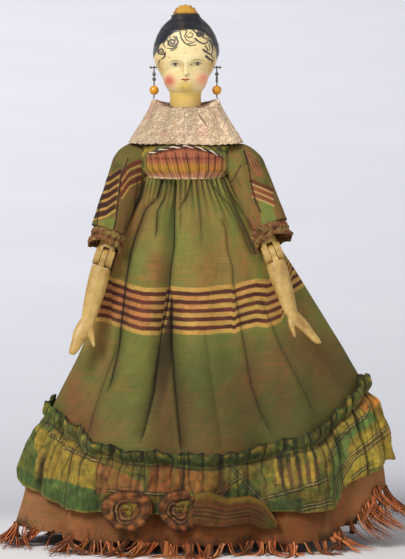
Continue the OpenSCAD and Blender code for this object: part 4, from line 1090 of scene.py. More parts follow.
def make_collar():
    """Old lace cape: scalloped low edge, creases that spread from the neck, pierced ground."""
    n, m = 62, 480
    q = np.linspace(90, 450, m)
    t = np.linspace(0, 1, n)
    qq, tt = places(q, t)
    c, s = cosd(qq), sind(qq)
    # from the neck out to the top edge, and down to the low edge
    ax = np.interp(tt, [0, .10, .18, .6, 1], [8.6, 13.0, 17.3, 23.2, 29.0])
    by = np.interp(tt, [0, .10, .18, .6, 1], [8.6, 10.0, 11.7, 13.0, 14.2])
    z = np.interp(tt, [0, .10, .18, .6, 1], [19.2, 20.0, 19.6, 10.2, 1.5]) + SHOULDER_Z + 7.4
    z -= (-.3 * smooth(.0, .85, -s) - .5 * smooth(.5, .95, np.abs(c))) * smooth(.6, .1, tt)
    rise = 1.6 * smooth(.72, .98, np.abs(c)) * peak(tt - .17, .07)
    z += rise - 1.2 * smooth(.1, .8, -s) * peak(tt - .1, .07)
    rest = points(qq * .5, 0 * qq, 0 * qq)
    crease = noise(rest, 6, 101)
    fall = smooth(.12, .3, tt)
    out = fall * (0.3 * cosd(11 * qq + 90 * crease) + .5 * crease)
    scallop = .5 + .5 * cosd(40 * qq + 40 * crease)
    z = z - smooth(.9, 1, tt) * (.1 + .45 * scallop) + .5 * fall * noise(points(c * 20, s * 12, z), 7, 102)
    z = z + peak(tt - .15, .08) * (1.1 * noise(rest, 3, 103)) - .5 * smooth(.8, 1, tt) * np.abs(c)
    v = points((ax + out) * c, (by + out) * s, z)
    v += .22 * fall[:, None] * points(c, s, 0 * c) * noise(v, 2.0, 104)[:, None]
    px, py = to_px(v)
    pt = Paint(px, py, rgb(232, 204, 164))
    pt.over(rgb(196, 160, 122), .55 * patches(v, 6, 105, .0, .7, 3))
    pt.over(rgb(226, 168, 146), .5 * patches(v, 7, 106, .1, .6))
    pt.over(rgb(240, 226, 200), .5 * patches(v, 4, 107, .1, .7))
    # painted shade in the creases
    pt.shade(.12 * smooth(.2, .9, -cosd(11 * qq + 90 * crease)) * fall * smooth(1, .5, tt))
    front = 1.0 * (v[:, 1] < 0)
    # painted light: the front lighter towards the viewer's right and darker towards the left
    pt.c *= (1 + .085 * smooth(-22, 22, v[:, 0]) * front - .07 * smooth(4, -10, v[:, 0]) * front)[:, None]
    pt.over(rgb(168, 130, 100), .42 * smooth(.07, 0, np.abs(noise(v, 1.7, 108))))
    pt.over(rgb(186, 132, 112), .3 * smooth(.06, 0, np.abs(noise(v, 3.1, 109))))
    # a pale line down the middle front with painted shade beside it
    pt.stroke([(186.5, 113), (185.5, 128), (187, 148)], 1.0, rgb(244, 230, 206), .8, .6, 0, front)
    pt.stroke([(185, 114), (184, 129), (185.4, 148)], .8, rgb(150, 120, 90), .8, .45, 0, front)
    pt.stroke([(196, 111), (200, 118), (208, 129)], 1.1, rgb(70, 44, 36), .8, .85, .6, front)
    # painted shade inside the collar's standing edge, by the neck
    pt.over(rgb(96, 60, 44), .8 * smooth(.16, .05, tt))
    cl = arc_lengths(v.reshape(n, m, 3))
    o = make("lace_cape", v, grid(n, m), M["lace"], "torso", ["lace_collar"], 0.45, pt.c, cl)


def lace_finish():
    f = Finish("old_lace", 0.85, Sheen_Weight=0.15)
    cl, rest = f.attr("cloth"), f.attr("rest")
    col = f.attr("paint", "Color")
    cells = f.cells(cl, 0.9)
    flowers = f.cells(cl, 0.26, "F1")
    n = f.noise(rest, 900.0, 3.0)
    ground = f.ramp(cells, [(0.06, 0.0), (0.3, 1.0)])
    motif = f.ramp(flowers, [(0.30, 0.0), (0.42, 1.0)])
    holes = f.math("MULTIPLY", ground, motif)
    col = f.mix(f.math("MULTIPLY", holes, 0.38), col, linear(rgb(160, 116, 80)))
    col = f.mix(f.ramp(n, [(0.45, 0.0), (0.75, 0.35)]), col, linear(rgb(160, 124, 90)))
    f.colour(col)
    rings = f.math("SINE", f.math("MULTIPLY", flowers, 26.0))
    f.bump(f.math("ADD", f.math("MULTIPLY", holes, -1.0), f.math("MULTIPLY", rings, 0.25)), 0.8, 0.0006)
    f.bump(n, 0.5, 0.0005)
    return f.m


# Sleeves and cuffs.
ARM = {LEFT: dict(splay=21.4, swing=21.0, width=19.4, body="left_upper_arm", fore="left_forearm",
                  word="left"),
       RIGHT: dict(splay=18.3, swing=14.0, width=16.8, body="right_upper_arm", fore="right_forearm",
                   word="right")}
ARM_X, ARM_HEAD_R, ELBOW_R = 24.5, 4.9, 4.7
SLEEVE_D, SLEEVE_L, CUFF_D, CUFF_WALL = 13.0, 39.6, 14.3, .9
CLEAR, CLOTH = 0.45, 0.8
PIT_X, PIT_Z, HEAD_TURN = 19.5 + 1.4, -9.2, 8


def at_shoulder(side, p):
    """Points in the shoulder's own frame, moved into the doll's."""
    a = math.radians(-ARM[side]["swing"])
    y = p[:, 1] * math.cos(a) - p[:, 2] * math.sin(a)
    z = p[:, 1] * math.sin(a) + p[:, 2] * math.cos(a)
    return points(p[:, 0] + side * ARM_X, y, z + SHOULDER_Z)


def along_arm(side, p):
    a = math.radians(-side * ARM[side]["splay"])
    x = p[:, 0] * math.cos(a) + p[:, 2] * math.sin(a)
    z = -p[:, 0] * math.sin(a) + p[:, 2] * math.cos(a)
    return at_shoulder(side, points(x, p[:, 1], z))


def sleeve_axis(side, t):
    """Middle, direction across, half width and half depth of the sleeve.

    t goes from 0 at the armhole to 2 at the sleeve's end.
    """
    spec = ARM[side]
    splay, width = math.radians(spec["splay"]), spec["width"]
    inner_w = ELBOW_R + CLEAR + CLOTH
    head_r = ARM_HEAD_R + CLEAR + CLOTH
    pit = np.array([PIT_X - ARM_X, PIT_Z])
    high = (head_r - PIT_Z) / math.cos(math.radians(HEAD_TURN))
    out = np.array([math.cos(splay), math.sin(splay)])
    down = np.array([math.sin(splay), -math.cos(splay)])
    inner = -inner_w - pit @ out
    k = np.clip(t, 0, 1)
    q = np.radians(HEAD_TURN + k * (90 - spec["splay"] - HEAD_TURN))
    u = points(np.sin(q), np.cos(q))
    frm = k * inner
    to = high + (width + inner - high) * (1 - cosd(90 * k))
    to = to + 1.5 * np.sin(math.pi * k) + 1.1 * smooth(.75, .2, k)
    mid = pit + u * ((frm + to) / 2)[:, None]
    slide = np.clip(t - 1, 0, 1) * (SLEEVE_L - pit @ down)
    mid = mid + down * slide[:, None]
    return mid, u, (to - frm) / 2, head_r + k * (SLEEVE_D / 2 - head_r)


def make_sleeve(side):
    spec = ARM[side]
    n, m = 120, 150
    t = np.concatenate([np.linspace(0, 1, 40, endpoint=False), np.linspace(1, 2.0, 80)])
    a = np.linspace(0, 2 * math.pi, m, endpoint=False) * side
    mid, u, half, deep = sleeve_axis(side, t)
    aa, tt = places(a, t)
    p0 = points(np.cos(aa) * 8, np.sin(aa) * 8, tt * 22)
    wr = 0.55 * noise(p0 * [1, 1, 1.6], 7, 111 + side)
    wr = wr + .3 * np.cos(aa * 7 + 4 * noise(p0, 14, 113, 1)) * smooth(1.7, 2, tt)
    wr = wr * smooth(0, .12, tt)
    ca, sa = signed_power(np.cos(aa), .84), signed_power(np.sin(aa), .92)
    halfs, deeps = np.repeat(half, m), np.repeat(deep, m)
    rim = .25 * np.sin(math.pi * np.clip(tt / 2, 0, 1))
    s = (halfs + rim + .5 * np.minimum(wr, .3)) * ca
    x = np.repeat(mid[:, 0], m) + np.repeat(u[:, 0], m) * s - 2.2 * smooth(.16, 0, tt)
    z = np.repeat(mid[:, 1], m) + np.repeat(u[:, 1], m) * s
    y = (deeps + .5 * wr) * sa
    v = at_shoulder(side, points(side * x, y, z))
    px, py = to_px(v)
    pt = Paint(px, py, rgb(112, 104, 56))
    pt.over(rgb(138, 104, 62), patches(v, 12, 115, -.3, .4, 3))
    if side == RIGHT:
        paint_right_sleeve(pt)
    else:
        paint_left_sleeve(pt)
    pt.shade(.3 * smooth(.1, .8, -noise(p0 * [1, 1, .6], 4, 116)))
    # painted shade where the sleeve meets the armhole
    pt.shade(.55 * smooth(.06, 0, tt))
    pt.c *= [.9, .87, .8]
    f = grid(n, m, wrap=True, flip=True)
    if side == LEFT:
        f = f[:, ::-1]
    cl = points(np.tile(np.abs(a), n) * 8, tt * 26)
    o = make(spec["word"] + "_sleeve_cloth", v, f, M["sleeve"], spec["body"], [spec["word"] + "_sleeve"],
             0.3, pt.c, cl)


def paint_right_sleeve(pt):
    """The sleeve on the viewer's left: green head, five maroon stripes, a long crease and a brown side."""
    pt.area([(100, 150), (150, 150), (146, 172), (118, 186), (96, 205), (90, 190)],
            rgb(114, 106, 58), 2.0, .8)
    pt.area([(142, 176), (150, 200), (138, 236), (112, 250), (116, 200), (120, 180)], rgb(120, 94, 56), 2.0)
    pt.blob(136, 218, 7, 20, rgb(124, 118, 62), .6)
    pt.area([(96, 222), (116, 218), (114, 238), (92, 240)], rgb(128, 140, 72), 1.6, .9)
    for k in range(5):
        y0 = 173 + 8.6 * k
        dark = [(102 - 1.9 * k, y0 + 9.5), (111 - 1.2 * k, y0 + 6.5), (120 - 1.2 * k, y0)]
        pt.stroke(dark, 5.0, rgb(68, 40, 30), .7)
        pt.stroke(np.array(dark) + [0, 4.0], 1.9, rgb(206, 168, 94), .6)
        pt.stroke(np.array(dark) - [0, 3.4], 1.4, rgb(176, 138, 80), .6, .8)
    for k in range(3):
        d = [(122, 178 + 9 * k), (130, 167 + 8.5 * k), (140, 163 + 8 * k)]
        pt.stroke(d, 4.6, rgb(104, 54, 42), .7)
        pt.stroke(np.array(d) + [0, 3.6], 1.6, rgb(186, 150, 84), .6)
    for k in range(3):
        d = [(100 - 4 * k, 190 + 12 * k), (97 - 4 * k, 202 + 12 * k)]
        pt.stroke(d, 2.0, rgb(84, 48, 36), .6, .9)
    # the long crease in painted shade with a painted highlight beside it, and two short creases in painted
    # shade
    pt.stroke([(128, 160), (121, 178), (118.5, 200), (116, 222), (112, 240)], 1.5, rgb(44, 28, 22), .8, .95)
    pt.stroke([(127, 160), (119.6, 180), (117.2, 200), (114.8, 222)], .9, rgb(190, 150, 96), .6, .5)
    pt.stroke([(138, 178), (135, 200), (134, 206)], 1.2, rgb(64, 44, 30), .8, .7)
    pt.stroke([(103, 194), (99, 214), (97, 232)], 1.2, rgb(44, 28, 22), .8, .8)


def paint_left_sleeve(pt):
    """The sleeve on the viewer's right: brown with pink stripes on its outer side, then a green patch."""
    pt.area([(222, 150), (240, 152), (250, 200), (262, 236), (246, 240), (232, 200)],
            rgb(140, 116, 68), 2.0, .8)
    pt.blob(240, 205, 5, 8, rgb(116, 128, 68), .6)
    pt.blob(232, 168, 7, 9, rgb(128, 136, 72), .7)
    pt.blob(250, 228, 12, 9, rgb(132, 82, 58), .85)
    pt.area([(258, 198), (272, 202), (280, 236), (262, 232)], rgb(122, 136, 74), 1.6, .95)
    pt.area([(243, 151), (249, 153), (256, 160), (261, 169), (263, 179), (257, 177), (251, 168), (247, 160)],
            rgb(150, 100, 68), 1.4, .95)
    for k in range(4):
        d = [(245 + 1.6 * k, 153.5 + .6 * k), (249 + 2.6 * k, 164 - .8 * k), (256 + 1.8 * k, 176 - k)]
        pt.stroke(d, .9, rgb(104, 58, 42), .6, .8, .4)
        pt.stroke(np.array(d) + [1.1, -.4], .8, rgb(196, 150, 108), .6, .6, .4)
    for k in range(3):
        y0 = 182 + 6.5 * k
        d = [(251 + .6 * k, y0), (262 + k, y0 + 4.5), (272 + k, y0 + 9)]
        pt.stroke(d, 3.6, rgb(140, 82, 56) if k != 0 else rgb(104, 60, 36), .7)
        pt.stroke(np.array(d) + [0, 3.0], 1.3, rgb(220, 178, 128), .6, .95)
    # creases in painted shade
    pt.stroke([(244, 152), (249, 170), (252, 190), (256, 204), (260, 213)], 1.4, rgb(44, 26, 20), .8, .95)
    pt.stroke([(229, 186), (236, 176), (241, 166)], 1.3, rgb(70, 52, 32), .8, .8)
    pt.stroke([(236, 172), (232, 196), (246, 232)], 1.0, rgb(80, 56, 36), .9, .35)


def make_cuff(side):
    """A gathered, ruffled band at the end of the sleeve, with a rolled frill below."""
    spec = ARM[side]
    m, n = 220, 46
    t = np.linspace(0, 1, n)
    a = np.linspace(0, 2 * math.pi, m, endpoint=False)
    aa, tt = places(a, t)
    p0 = points(np.cos(aa) * 7, np.sin(aa) * 7, tt * 9)
    ruf = np.abs(np.cos(aa * 7 + 3.4 * noise(p0, 5, 121) + side)) ** .8
    bulge = np.interp(tt, [0, .2, .42, .55, .8, 1], [.98, 1.03, 1.02, .97, 1.04, .97])
    half = bulge * spec["width"] / 2 - CUFF_WALL
    deep = bulge * CUFF_D / 2 - CUFF_WALL
    r = .1 + 1.2 * ruf * np.interp(tt, [0, .3, .55, .8, 1], [.25, .8, .6, .9, .7])
    r = r + .9 * noise(p0, 2.2, 122) + .5 * noise(p0, 1.1, 126, 1)
    shift = spec["width"] / 2 - CUFF_WALL - (ELBOW_R + CLEAR + CLOTH) + .2
    x = side * shift + side * (half + r) * np.cos(aa)
    y = (deep + r) * np.sin(aa) * side
    front = smooth(.1, .8, -np.sin(aa) * side)
    z = -(SLEEVE_L - .4 + 10.6 * tt) + .7 * np.cos(aa * 5 + side) * tt
    z += .8 * noise(p0, 3, 125) * tt + 2.9 * tt * front
    y -= .7 * tt * front
    v = along_arm(side, points(x, y, z))
    pt = Paint(aa, tt, rgb(126, 90, 54))
    nz = noise(v, 3.2, 123)
    pt.over(rgb(92, 50, 36), smooth(.0, .6, nz) * .9)
    pt.over(rgb(132, 118, 66), smooth(.1, .6, -nz) * .8)
    pt.over(rgb(206, 168, 110), .8 * patches(v, 1.7, 124, .52, .6))
    # painted shade in the ruffles' hollows and where the two rolls meet
    pt.shade(.5 * smooth(.35, .0, ruf) * patches(v, 4, 127, -.5, .3, 1))
    pt.shade(.2 * peak(tt - .55, .06))
    cl = points(aa * 8, tt * 9)
    o = make(spec["word"] + "_cuff_cloth", v, grid(n, m, wrap=True), M["cuff"], spec["body"],
             [spec["word"] + "_cuff"], 0.3, pt.c, cl)


# Head with its painted face and curls.
# The face and the hair are turned forms: shares of the head's height, and radii in mm or shares of HAIR_R.
CHIN_Z, HEAD_H, HAIR_R, HAIR_Y, MIDDLE_Y = 227.5, 41.0, 16.4, 3.2, 1.0
HAIR = np.array([[.2, .5], [.25, .72], [.32, .82], [.4, .92], [.48, .985], [.55, 1], [.66, .965], [.77, .87],
                 [.87, .73], [.95, .5], [.985, .26], [1, 0.0]])
FACE = np.array([[-.6, 7.9], [-.08, 7.9], [0, 7.9], [.05, 8.0], [.088, 8.35], [.13, 9.6], [.173, 10.6],
                 [.22, 11.3], [.27, 11.75], [.35, 12.0], [.5, 12.35], [.62, 12.3], [.72, 11.6],
                 [.82, 9.0], [.9, 4], [.95, 0]])


def head_radius(az, z):
    """Distances of the face and the hair from the middle line, at angle az (front is 270) and height z."""
    t = (z - CHIN_Z) / HEAD_H
    rf = np.interp(t, FACE[:, 0], FACE[:, 1])
    rh = np.interp(t, HAIR[:, 0], HAIR[:, 1], left=0) * HAIR_R
    dy = sind(az)

    def reach(cy, r):
        b = dy * (cy - MIDDLE_Y)
        disc = b ** 2 - (cy - MIDDLE_Y) ** 2 + r ** 2
        return np.where((disc > 0) & (r > 0), b + np.sqrt(np.maximum(disc, 0)), 0)
    return reach(0.0, rf), reach(HAIR_Y, rh)


def head_px(x, y, z):
    return PX_X0 + x / PX, PX_Y0 - (z * math.cos(TILT) + y * math.sin(TILT)) / PX


def make_head():
    """The head and neck, with more points over the face than behind it."""
    az = np.concatenate([np.linspace(190, 350, 260, endpoint=False),
                         np.linspace(350, 550, 110, endpoint=False)])
    z = np.concatenate([np.linspace(203, 229, 26, endpoint=False), np.linspace(229, 262, 170, endpoint=False),
                        np.linspace(262, CHIN_Z + HEAD_H, 34)])[::-1]
    aa, zz = places(az, z)
    r = np.maximum(*head_radius(aa, zz))
    x = r * cosd(aa)
    y = MIDDLE_Y + r * sind(aa)
    v = points(x, y, zz)
    px, py = head_px(x, y, zz)
    isf = smooth(-2, -6, y)
    # carved features: brow hollows, nose, lips, chin and cheeks
    push = np.zeros(len(v))

    def bump(cx, cy, rx, ry, d):
        return isf * d * np.exp(-(((px - cx) / rx) ** 2 + ((py - cy) / ry) ** 2))
    push -= bump(176, 67.5, 5.5, 3.6, .75) + bump(196.5, 66.5, 5.5, 3.6, .75)
    push += bump(175.2, 66.6, 3.2, 2.0, .35) + bump(197.4, 65.9, 3.2, 2.0, .35)
    ridge = np.interp(py, [56, 63, 70, 75, 77.5, 79.5], [0, .3, .8, 1.3, .9, 0])
    push += isf * ridge * peak(px - 186, np.interp(py, [60, 75], [1.5, 2.2]))
    push += bump(186, 75.6, 3.6, 1.6, .35)
    lips = bump(185.4, 80.4, 4.0, 1.1, .35) + bump(185.4, 83.0, 3.2, 1.1, .3)
    push += lips - bump(185.4, 81.6, 3.5, .5, .25)
    push += bump(185.5, 90, 6, 3.4, .55) + bump(170.5, 82, 5, 5, .25) + bump(200.5, 81, 5, 5, .25)
    hair_mask, curls = hair_shape(px, py, v)
    push += .32 * hair_mask * isf + .22 * curls * isf * smooth(62, 58, py)
    n = points(cosd(aa), sind(aa), 0 * aa)
    v = v + n * push[:, None]
    v = v + n * (.07 * noise(v, 3.5, 131))[:, None]
    wider = smooth(4, 14, v[:, 0]) - .2 * smooth(-6, -13, v[:, 0])
    v[:, 0] += wider * hair_mask * smooth(246, 252, zz)
    paint = face_paint(v, px, py, hair_mask, curls)
    make("head", v, capped(len(z), len(az)), M["head"], "torso", ["head_and_torso"], 0, paint,
         fields={"gloss": hair_mask})


def make_hair_knot():
    """Hair painted up round the comb's foot, as a low mound on the crown."""
    comb = vertex_values(NODES["tuck_comb"].data, "co") / MM
    mid = (comb.min(0) + comb.max(0)) / 2
    z = np.array([255, 258, 260, 261.5, 262.6, 263.6, 264.6, 265.6, 266.6, 267.6, 268.6, 269.6, 270.3, 270.7])
    wide = np.array([13.2, 13.2, 13.1, 12.9, 12.6, 12.1, 11.3, 10.3, 9.2, 8.0, 7.1, 6.7, 6.2, 5.2])
    deep = np.array([9.4, 10.0, 10.2, 10.1, 9.8, 9.4, 8.9, 8.2, 7.4, 6.5, 5.7, 4.9, 4.0, 2.8])
    m = 64
    a = np.linspace(0, 2 * math.pi, m, endpoint=False)
    v = points(mid[0] + .4 + wide[:, None] * np.cos(a), mid[1] + deep[:, None] * np.sin(a),
               z[:, None] + 0 * a).reshape(-1, 3)
    v += .15 * noise(v, 3, 135)[:, None]
    paint = np.tile(rgb(26, 29, 36), (len(v), 1)) * (1 + .5 * noise(v, 4, 136))[:, None]
    make("hair_knot", v, capped(len(z), m, flip=True), M["head"], "torso", (), 0, paint,
         fields={"gloss": np.ones(len(v))})


def hair_shape(px, py, v):
    """How much of each point is the hair's dark mass, and how much is a painted curl."""
    back = smooth(-1.5, 1.5, v[:, 1] - np.interp(py, [46, 60, 66, 80], [-5, 1.5, 5, 9]))
    line = np.interp(px, [150, 154.5, 158.6, 160.7, 165, 169.4, 174.8, 180.3, 186.8, 194.4, 203, 208.5,
                          212.8, 215, 216.5, 221],
                     [60, 58, 51, 47, 43.4, 38, 34.2, 32.6, 31.5, 31.5, 34.7, 40, 45.6, 51, 60, 66])
    mass = smooth(.7, -.7, py - line + .9 * noise(v, 1.3, 133))
    mass = np.maximum(mass, back * smooth(232, 236, v[:, 2]))
    curls = np.zeros(len(px))

    def spiral(cx, cy, r, turns, start, sign=1, w=.62):
        a = np.linspace(0, turns * 2 * math.pi, 34)
        rad = r * (1 - .8 * a / a[-1])
        pts = points(cx + rad * np.cos(start + sign * a), cy + rad * .9 * np.sin(start + sign * a))
        d, _, _ = line_distance(px, py, pts)
        return np.clip((w - d) / .45 + .5, 0, 1)

    def stroke(pts, w=.6):
        d, t, _ = line_distance(px, py, pts)
        return np.clip((w * (1 - .6 * t ** 2) - d) / .45 + .5, 0, 1)
    front = smooth(-3, -5, v[:, 1])
    for c in (spiral(172.5, 44.3, 4.7, 1.5, .3, 1, .8), spiral(162, 53, 3.9, 1.35, .4, 1, .75),
              stroke([(176.5, 39), (178.2, 44), (176.6, 48.5), (172.5, 50.7), (167.6, 50)], .9),
              stroke([(166.4, 40.5), (163.6, 46), (166, 49.8)], .8),
              stroke([(165.4, 55), (165, 58.5), (161, 61.4)], .9),
              stroke([(159.2, 48), (157.8, 52), (158.8, 56.5)], .8),
              stroke([(169, 37), (167, 41), (168.5, 44)], .9),
              stroke([(180, 34), (181.4, 40.3), (185, 45.2), (190, 47.7), (195, 47.3), (196.4, 46)], .75),
              stroke([(184.2, 37.6), (186.4, 42), (190, 43.6), (193, 43)], .5),
              stroke([(187, 32.5), (185.4, 36.5), (188, 39.6), (192, 39), (193, 36), (190.5, 34.3),
                      (188.8, 36)], .55),
              stroke([(193, 32), (196, 35), (196.6, 38)], .7),
              stroke([(188, 46), (193, 44.9), (196.6, 42.3)], .5),
              spiral(199.4, 36.3, 3.5, 1.4, .4, -1, 1.05),
              stroke([(195, 40.5), (199, 43.9), (203.5, 45.7), (207, 44.4), (208, 41)], .85),
              stroke([(202, 38.6), (206, 40.8), (208, 40)], .7),
              stroke([(205, 47.5), (207.8, 51.6), (204.2, 54)], .65),
              stroke([(203, 51.5), (207, 54.5), (211, 56.5), (213, 60)], .95),
              stroke([(209, 42.5), (211.6, 47), (212.6, 52), (211, 57)], .85),
              stroke([(206, 58), (209.5, 61), (213.6, 62.5)], 1.15),
              stroke([(208.4, 46), (209.9, 50), (208.8, 53)], .5),
              stroke([(214, 48), (215.2, 56), (214.2, 63), (213.4, 70), (215, 75)], .65),
              stroke([(211.8, 62), (212.4, 68), (213, 73)], .45),
              stroke([(159.6, 62), (158.6, 66), (160, 70)], .55),
              stroke([(174, 38), (175.6, 41.5), (175, 45)], .6),
              stroke([(171, 52.5), (174.6, 51.6), (177.8, 49)], .5)):
        curls = np.maximum(curls, c)
    return mass, curls * front * (1 - mass)


def face_paint(v, px, py, mass, curls):
    pt = Paint(px, py, rgb(240, 216, 156))
    z = v[:, 2]
    front = smooth(-1, -4, v[:, 1])
    # painted shade on the neck under the chin
    pt.over(rgb(214, 176, 78), .9 * smooth(233.5, 229, z))
    pt.over(rgb(226, 192, 104), .55 * smooth(240, 232, z) * smooth(9, 4, np.abs(px - 186)))
    pt.over(rgb(218, 184, 116), .6 * smooth(229.5, 224, z))
    pt.over(rgb(240, 222, 166), .75 * smooth(226, 217, z) * patches(v, 3.2, 145, -.6, .3))
    # painted shade at the sides of the face
    pt.over(rgb(220, 190, 120), .55 * smooth(7, 12, np.abs(v[:, 0])) * smooth(262, 240, z))
    pt.blob(184.5, 88, 7.4, 4, rgb(206, 170, 60), .62)
    # painted highlight between the brows
    pt.blob(186, 62, 9, 6, rgb(252, 238, 190), .6)
    pt.blob(169.8, 82.4, 5.0, 5.4, rgb(208, 84, 72), .82, 1.1)
    pt.blob(168.4, 81.2, 2.4, 2.8, rgb(204, 62, 66), .35)
    # painted highlight on the right cheek, under the rouge
    pt.blob(203.6, 82, 8, 8, rgb(255, 226, 178), .7, 1.2)
    pt.blob(202.8, 81, 7.0, 5.8, rgb(255, 140, 104), .62, 1.2)
    pt.blob(203.5, 78.8, 2.6, 2.2, rgb(232, 92, 84), .25)
    # painted shade in the sockets and beside the nose, brows, and eyes with a painted glint in each
    for cx, cy, s in ((175, 66.3, 1), (198, 65.6, -1)):
        pt.blob(cx + 1.5 * s, cy - .2, 5.2, 3.0, rgb(178, 156, 104), .42)
        pt.blob(cx + 6.5 * s, cy + 2.4, 2.2, 4.5, rgb(190, 164, 100), .45)
        pt.area([(cx - 4.0, cy + .3), (cx - 1.6, cy - 1.3), (cx + 1.4, cy - 1.4), (cx + 3.9, cy + .2),
                 (cx + 1.4, cy + 1.1), (cx - 1.6, cy + 1.1)], rgb(226, 214, 178), .7, .8)
        pt.blob(cx, cy + .05, 1.75, 1.5, rgb(46, 44, 40), 1.0, 3)
        # painted glint on the iris
        pt.blob(cx - .3, cy - .3, .45, .4, rgb(190, 190, 180), .5, 2)
        pt.stroke([(cx - 4.2, cy + .5), (cx - 2, cy - 1.4), (cx + 1.4, cy - 1.6), (cx + 4.2, cy + .1)], .8,
                  rgb(70, 52, 38), .6, .85, .5)
        pt.stroke([(cx - 3.2, cy + 1.4), (cx, cy + 1.9), (cx + 3.2, cy + 1.2)], .5, rgb(140, 110, 78), .7,
                  .5, .5)
    pt.stroke([(169.5, 64.3), (173, 62.5), (178, 62.6), (181, 63.8)], .9, rgb(120, 98, 62), .7, .75, .6)
    pt.stroke([(192, 63.4), (195, 61.8), (200, 61.6), (204, 63)], .9, rgb(120, 98, 62), .7, .8, .6)
    pt.stroke([(190.4, 66.6), (192, 66.2)], 1.0, rgb(96, 84, 66), .6, .75)
    # painted nose shade, a painted highlight down the ridge, and the nostril
    pt.stroke([(183.4, 64), (183.2, 70), (183.6, 75)], 1.5, rgb(186, 160, 104), 1.2, .6, .4)
    pt.stroke([(186.6, 64), (186.9, 74)], 1.4, rgb(252, 236, 190), 1.0, .4, .4)
    pt.stroke([(184.6, 76.6), (186.4, 77.0), (188.0, 76.4)], .8, rgb(168, 128, 78), .8, .7, .4)
    # lips
    pt.area([(180.8, 81.3), (183.6, 79.9), (185.4, 80.5), (187.2, 79.9), (189.8, 81.2), (185.4, 82.0)],
            rgb(206, 96, 84), .6, .85)
    pt.area([(182.4, 81.9), (188.2, 81.9), (185.4, 83.7)], rgb(206, 112, 92), .8, .6)
    pt.stroke([(181.0, 81.2), (183.6, 81.6), (185.4, 82.0), (187.2, 81.6), (189.6, 81.1)], .9,
              rgb(128, 30, 32), .5, .95, .5)
    pt.over(rgb(150, 116, 66), .3 * front * patches(v, 2.0, 141, .35, .8))
    low = py - np.interp(px, [150, 158, 165, 175, 187, 203, 212, 216], [58, 51, 46, 37, 31, 35, 46, 60])
    pt.over(rgb(186, 172, 124), .5 * front * smooth(9, 3, low) * patches(v, 1.6, 144, -.2, .5))
    pt.over(rgb(206, 160, 78), .6 * front * smooth(57, 64, py) * smooth(82, 72, py)
            * smooth(10.6, 12.6, np.abs(v[:, 0])))
    pt.over(rgb(70, 62, 48), .4 * smooth(180, 174, px) * smooth(53, 49, py) * patches(v, 2.2, 146, -.1, .4)
            * front * smooth(4, 8, np.hypot((px - 186) * .62, py - 56)))
    pt.over(rgb(232, 204, 136), smooth(-1.5, 2.5, v[:, 1]) * smooth(229, 233, z))
    pt.over(rgb(40, 40, 44), curls * .92)
    pt.over(rgb(26, 29, 36), mass)
    pt.over(rgb(50, 56, 66), mass * .35 * patches(v, 6, 142, .1, .7))
    pt.over(rgb(14, 16, 22), mass * .4 * patches(v, 9, 143, .1, .7))
    return pt.c


def head_finish():
    f = Finish("painted_head", 0.4, Coat_Weight=0.15, Coat_Roughness=0.3)
    rest, col = f.attr("rest"), f.attr("paint", "Color")
    gloss = f.attr("gloss", "Fac")
    big, fine = f.noise(rest, 160.0, 3.0), f.noise(rest, 900.0, 3.0, 0.65)
    col = f.mix(f.ramp(big, [(0.5, 0.0), (0.8, 0.14)]), col, linear(rgb(205, 165, 85)))
    col = f.mix(f.ramp(fine, [(0.66, 0.0), (0.72, 0.4)]), col, linear(rgb(128, 100, 66)))
    f.colour(col)
    f.put(f.b.inputs["Roughness"], f.math("MULTIPLY_ADD", gloss, -0.12, 0.42))
    crack = f.cells(rest, 520.0)
    f.bump(f.math("MINIMUM", crack, 0.05), 0.18, 0.0005)
    f.bump(fine, 0.25, 0.0002)
    return f.m


# Where the head's own mesh ends inside the torso's, in m.
NECK_CUT = 0.2065


def make_torso():
    """The carved torso under the dress: the CAD node's own form below the neck."""
    me = NODES["head_and_torso"].data.copy()
    me.name = "torso_block"
    bm = bmesh.new()
    bm.from_mesh(me)
    bmesh.ops.remove_doubles(bm, verts=bm.verts, dist=1e-6)
    res = bmesh.ops.bisect_plane(bm, geom=bm.verts[:] + bm.edges[:] + bm.faces[:], plane_co=(0, 0, NECK_CUT),
                                 plane_no=(0, 0, 1), clear_outer=True)
    edges = [e for e in res["geom_cut"] if isinstance(e, bmesh.types.BMEdge)]
    bmesh.ops.holes_fill(bm, edges=edges, sides=0)
    bm.to_mesh(me)
    bm.free()
    me.materials.clear()
    me.materials.append(M["wood_paint"])
    o = add_object("torso_block", me)
    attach(o, "torso")


# Forearms and hands.
def make_forearm(side):
    """The CAD's forearm made into one carved, slightly rounded form."""
    spec = ARM[side]
    me = NODES[spec["word"] + "_forearm"].data.copy()
    me.name = spec["word"] + "_carved_forearm"
    o = add_object(me.name, me)
    rm = o.modifiers.new("remesh", "REMESH")
    rm.mode = "VOXEL"
    rm.voxel_size = 0.00028
    sm = o.modifiers.new("smooth", "SMOOTH")
    sm.factor, sm.iterations = 0.5, 6
    dg = bpy.context.evaluated_depsgraph_get()
    done = bpy.data.meshes.new_from_object(o.evaluated_get(dg))
    o.modifiers.clear()
    o.data = done
    done.materials.clear()
    done.materials.append(M["wood_paint"])
    v = vertex_values(done, "co") * 1000
    v = v + vertex_values(done, "normal") * (.09 * noise(v * [1, 1, .4], 3.0, 151))[:, None]
    done.vertices.foreach_set("co", (v * MM).astype(np.float32).ravel())
    done.polygons.foreach_set("use_smooth", np.ones(len(done.polygons), bool))
    done.update()
    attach(o, spec["fore"])
    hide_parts(spec["word"] + "_forearm")


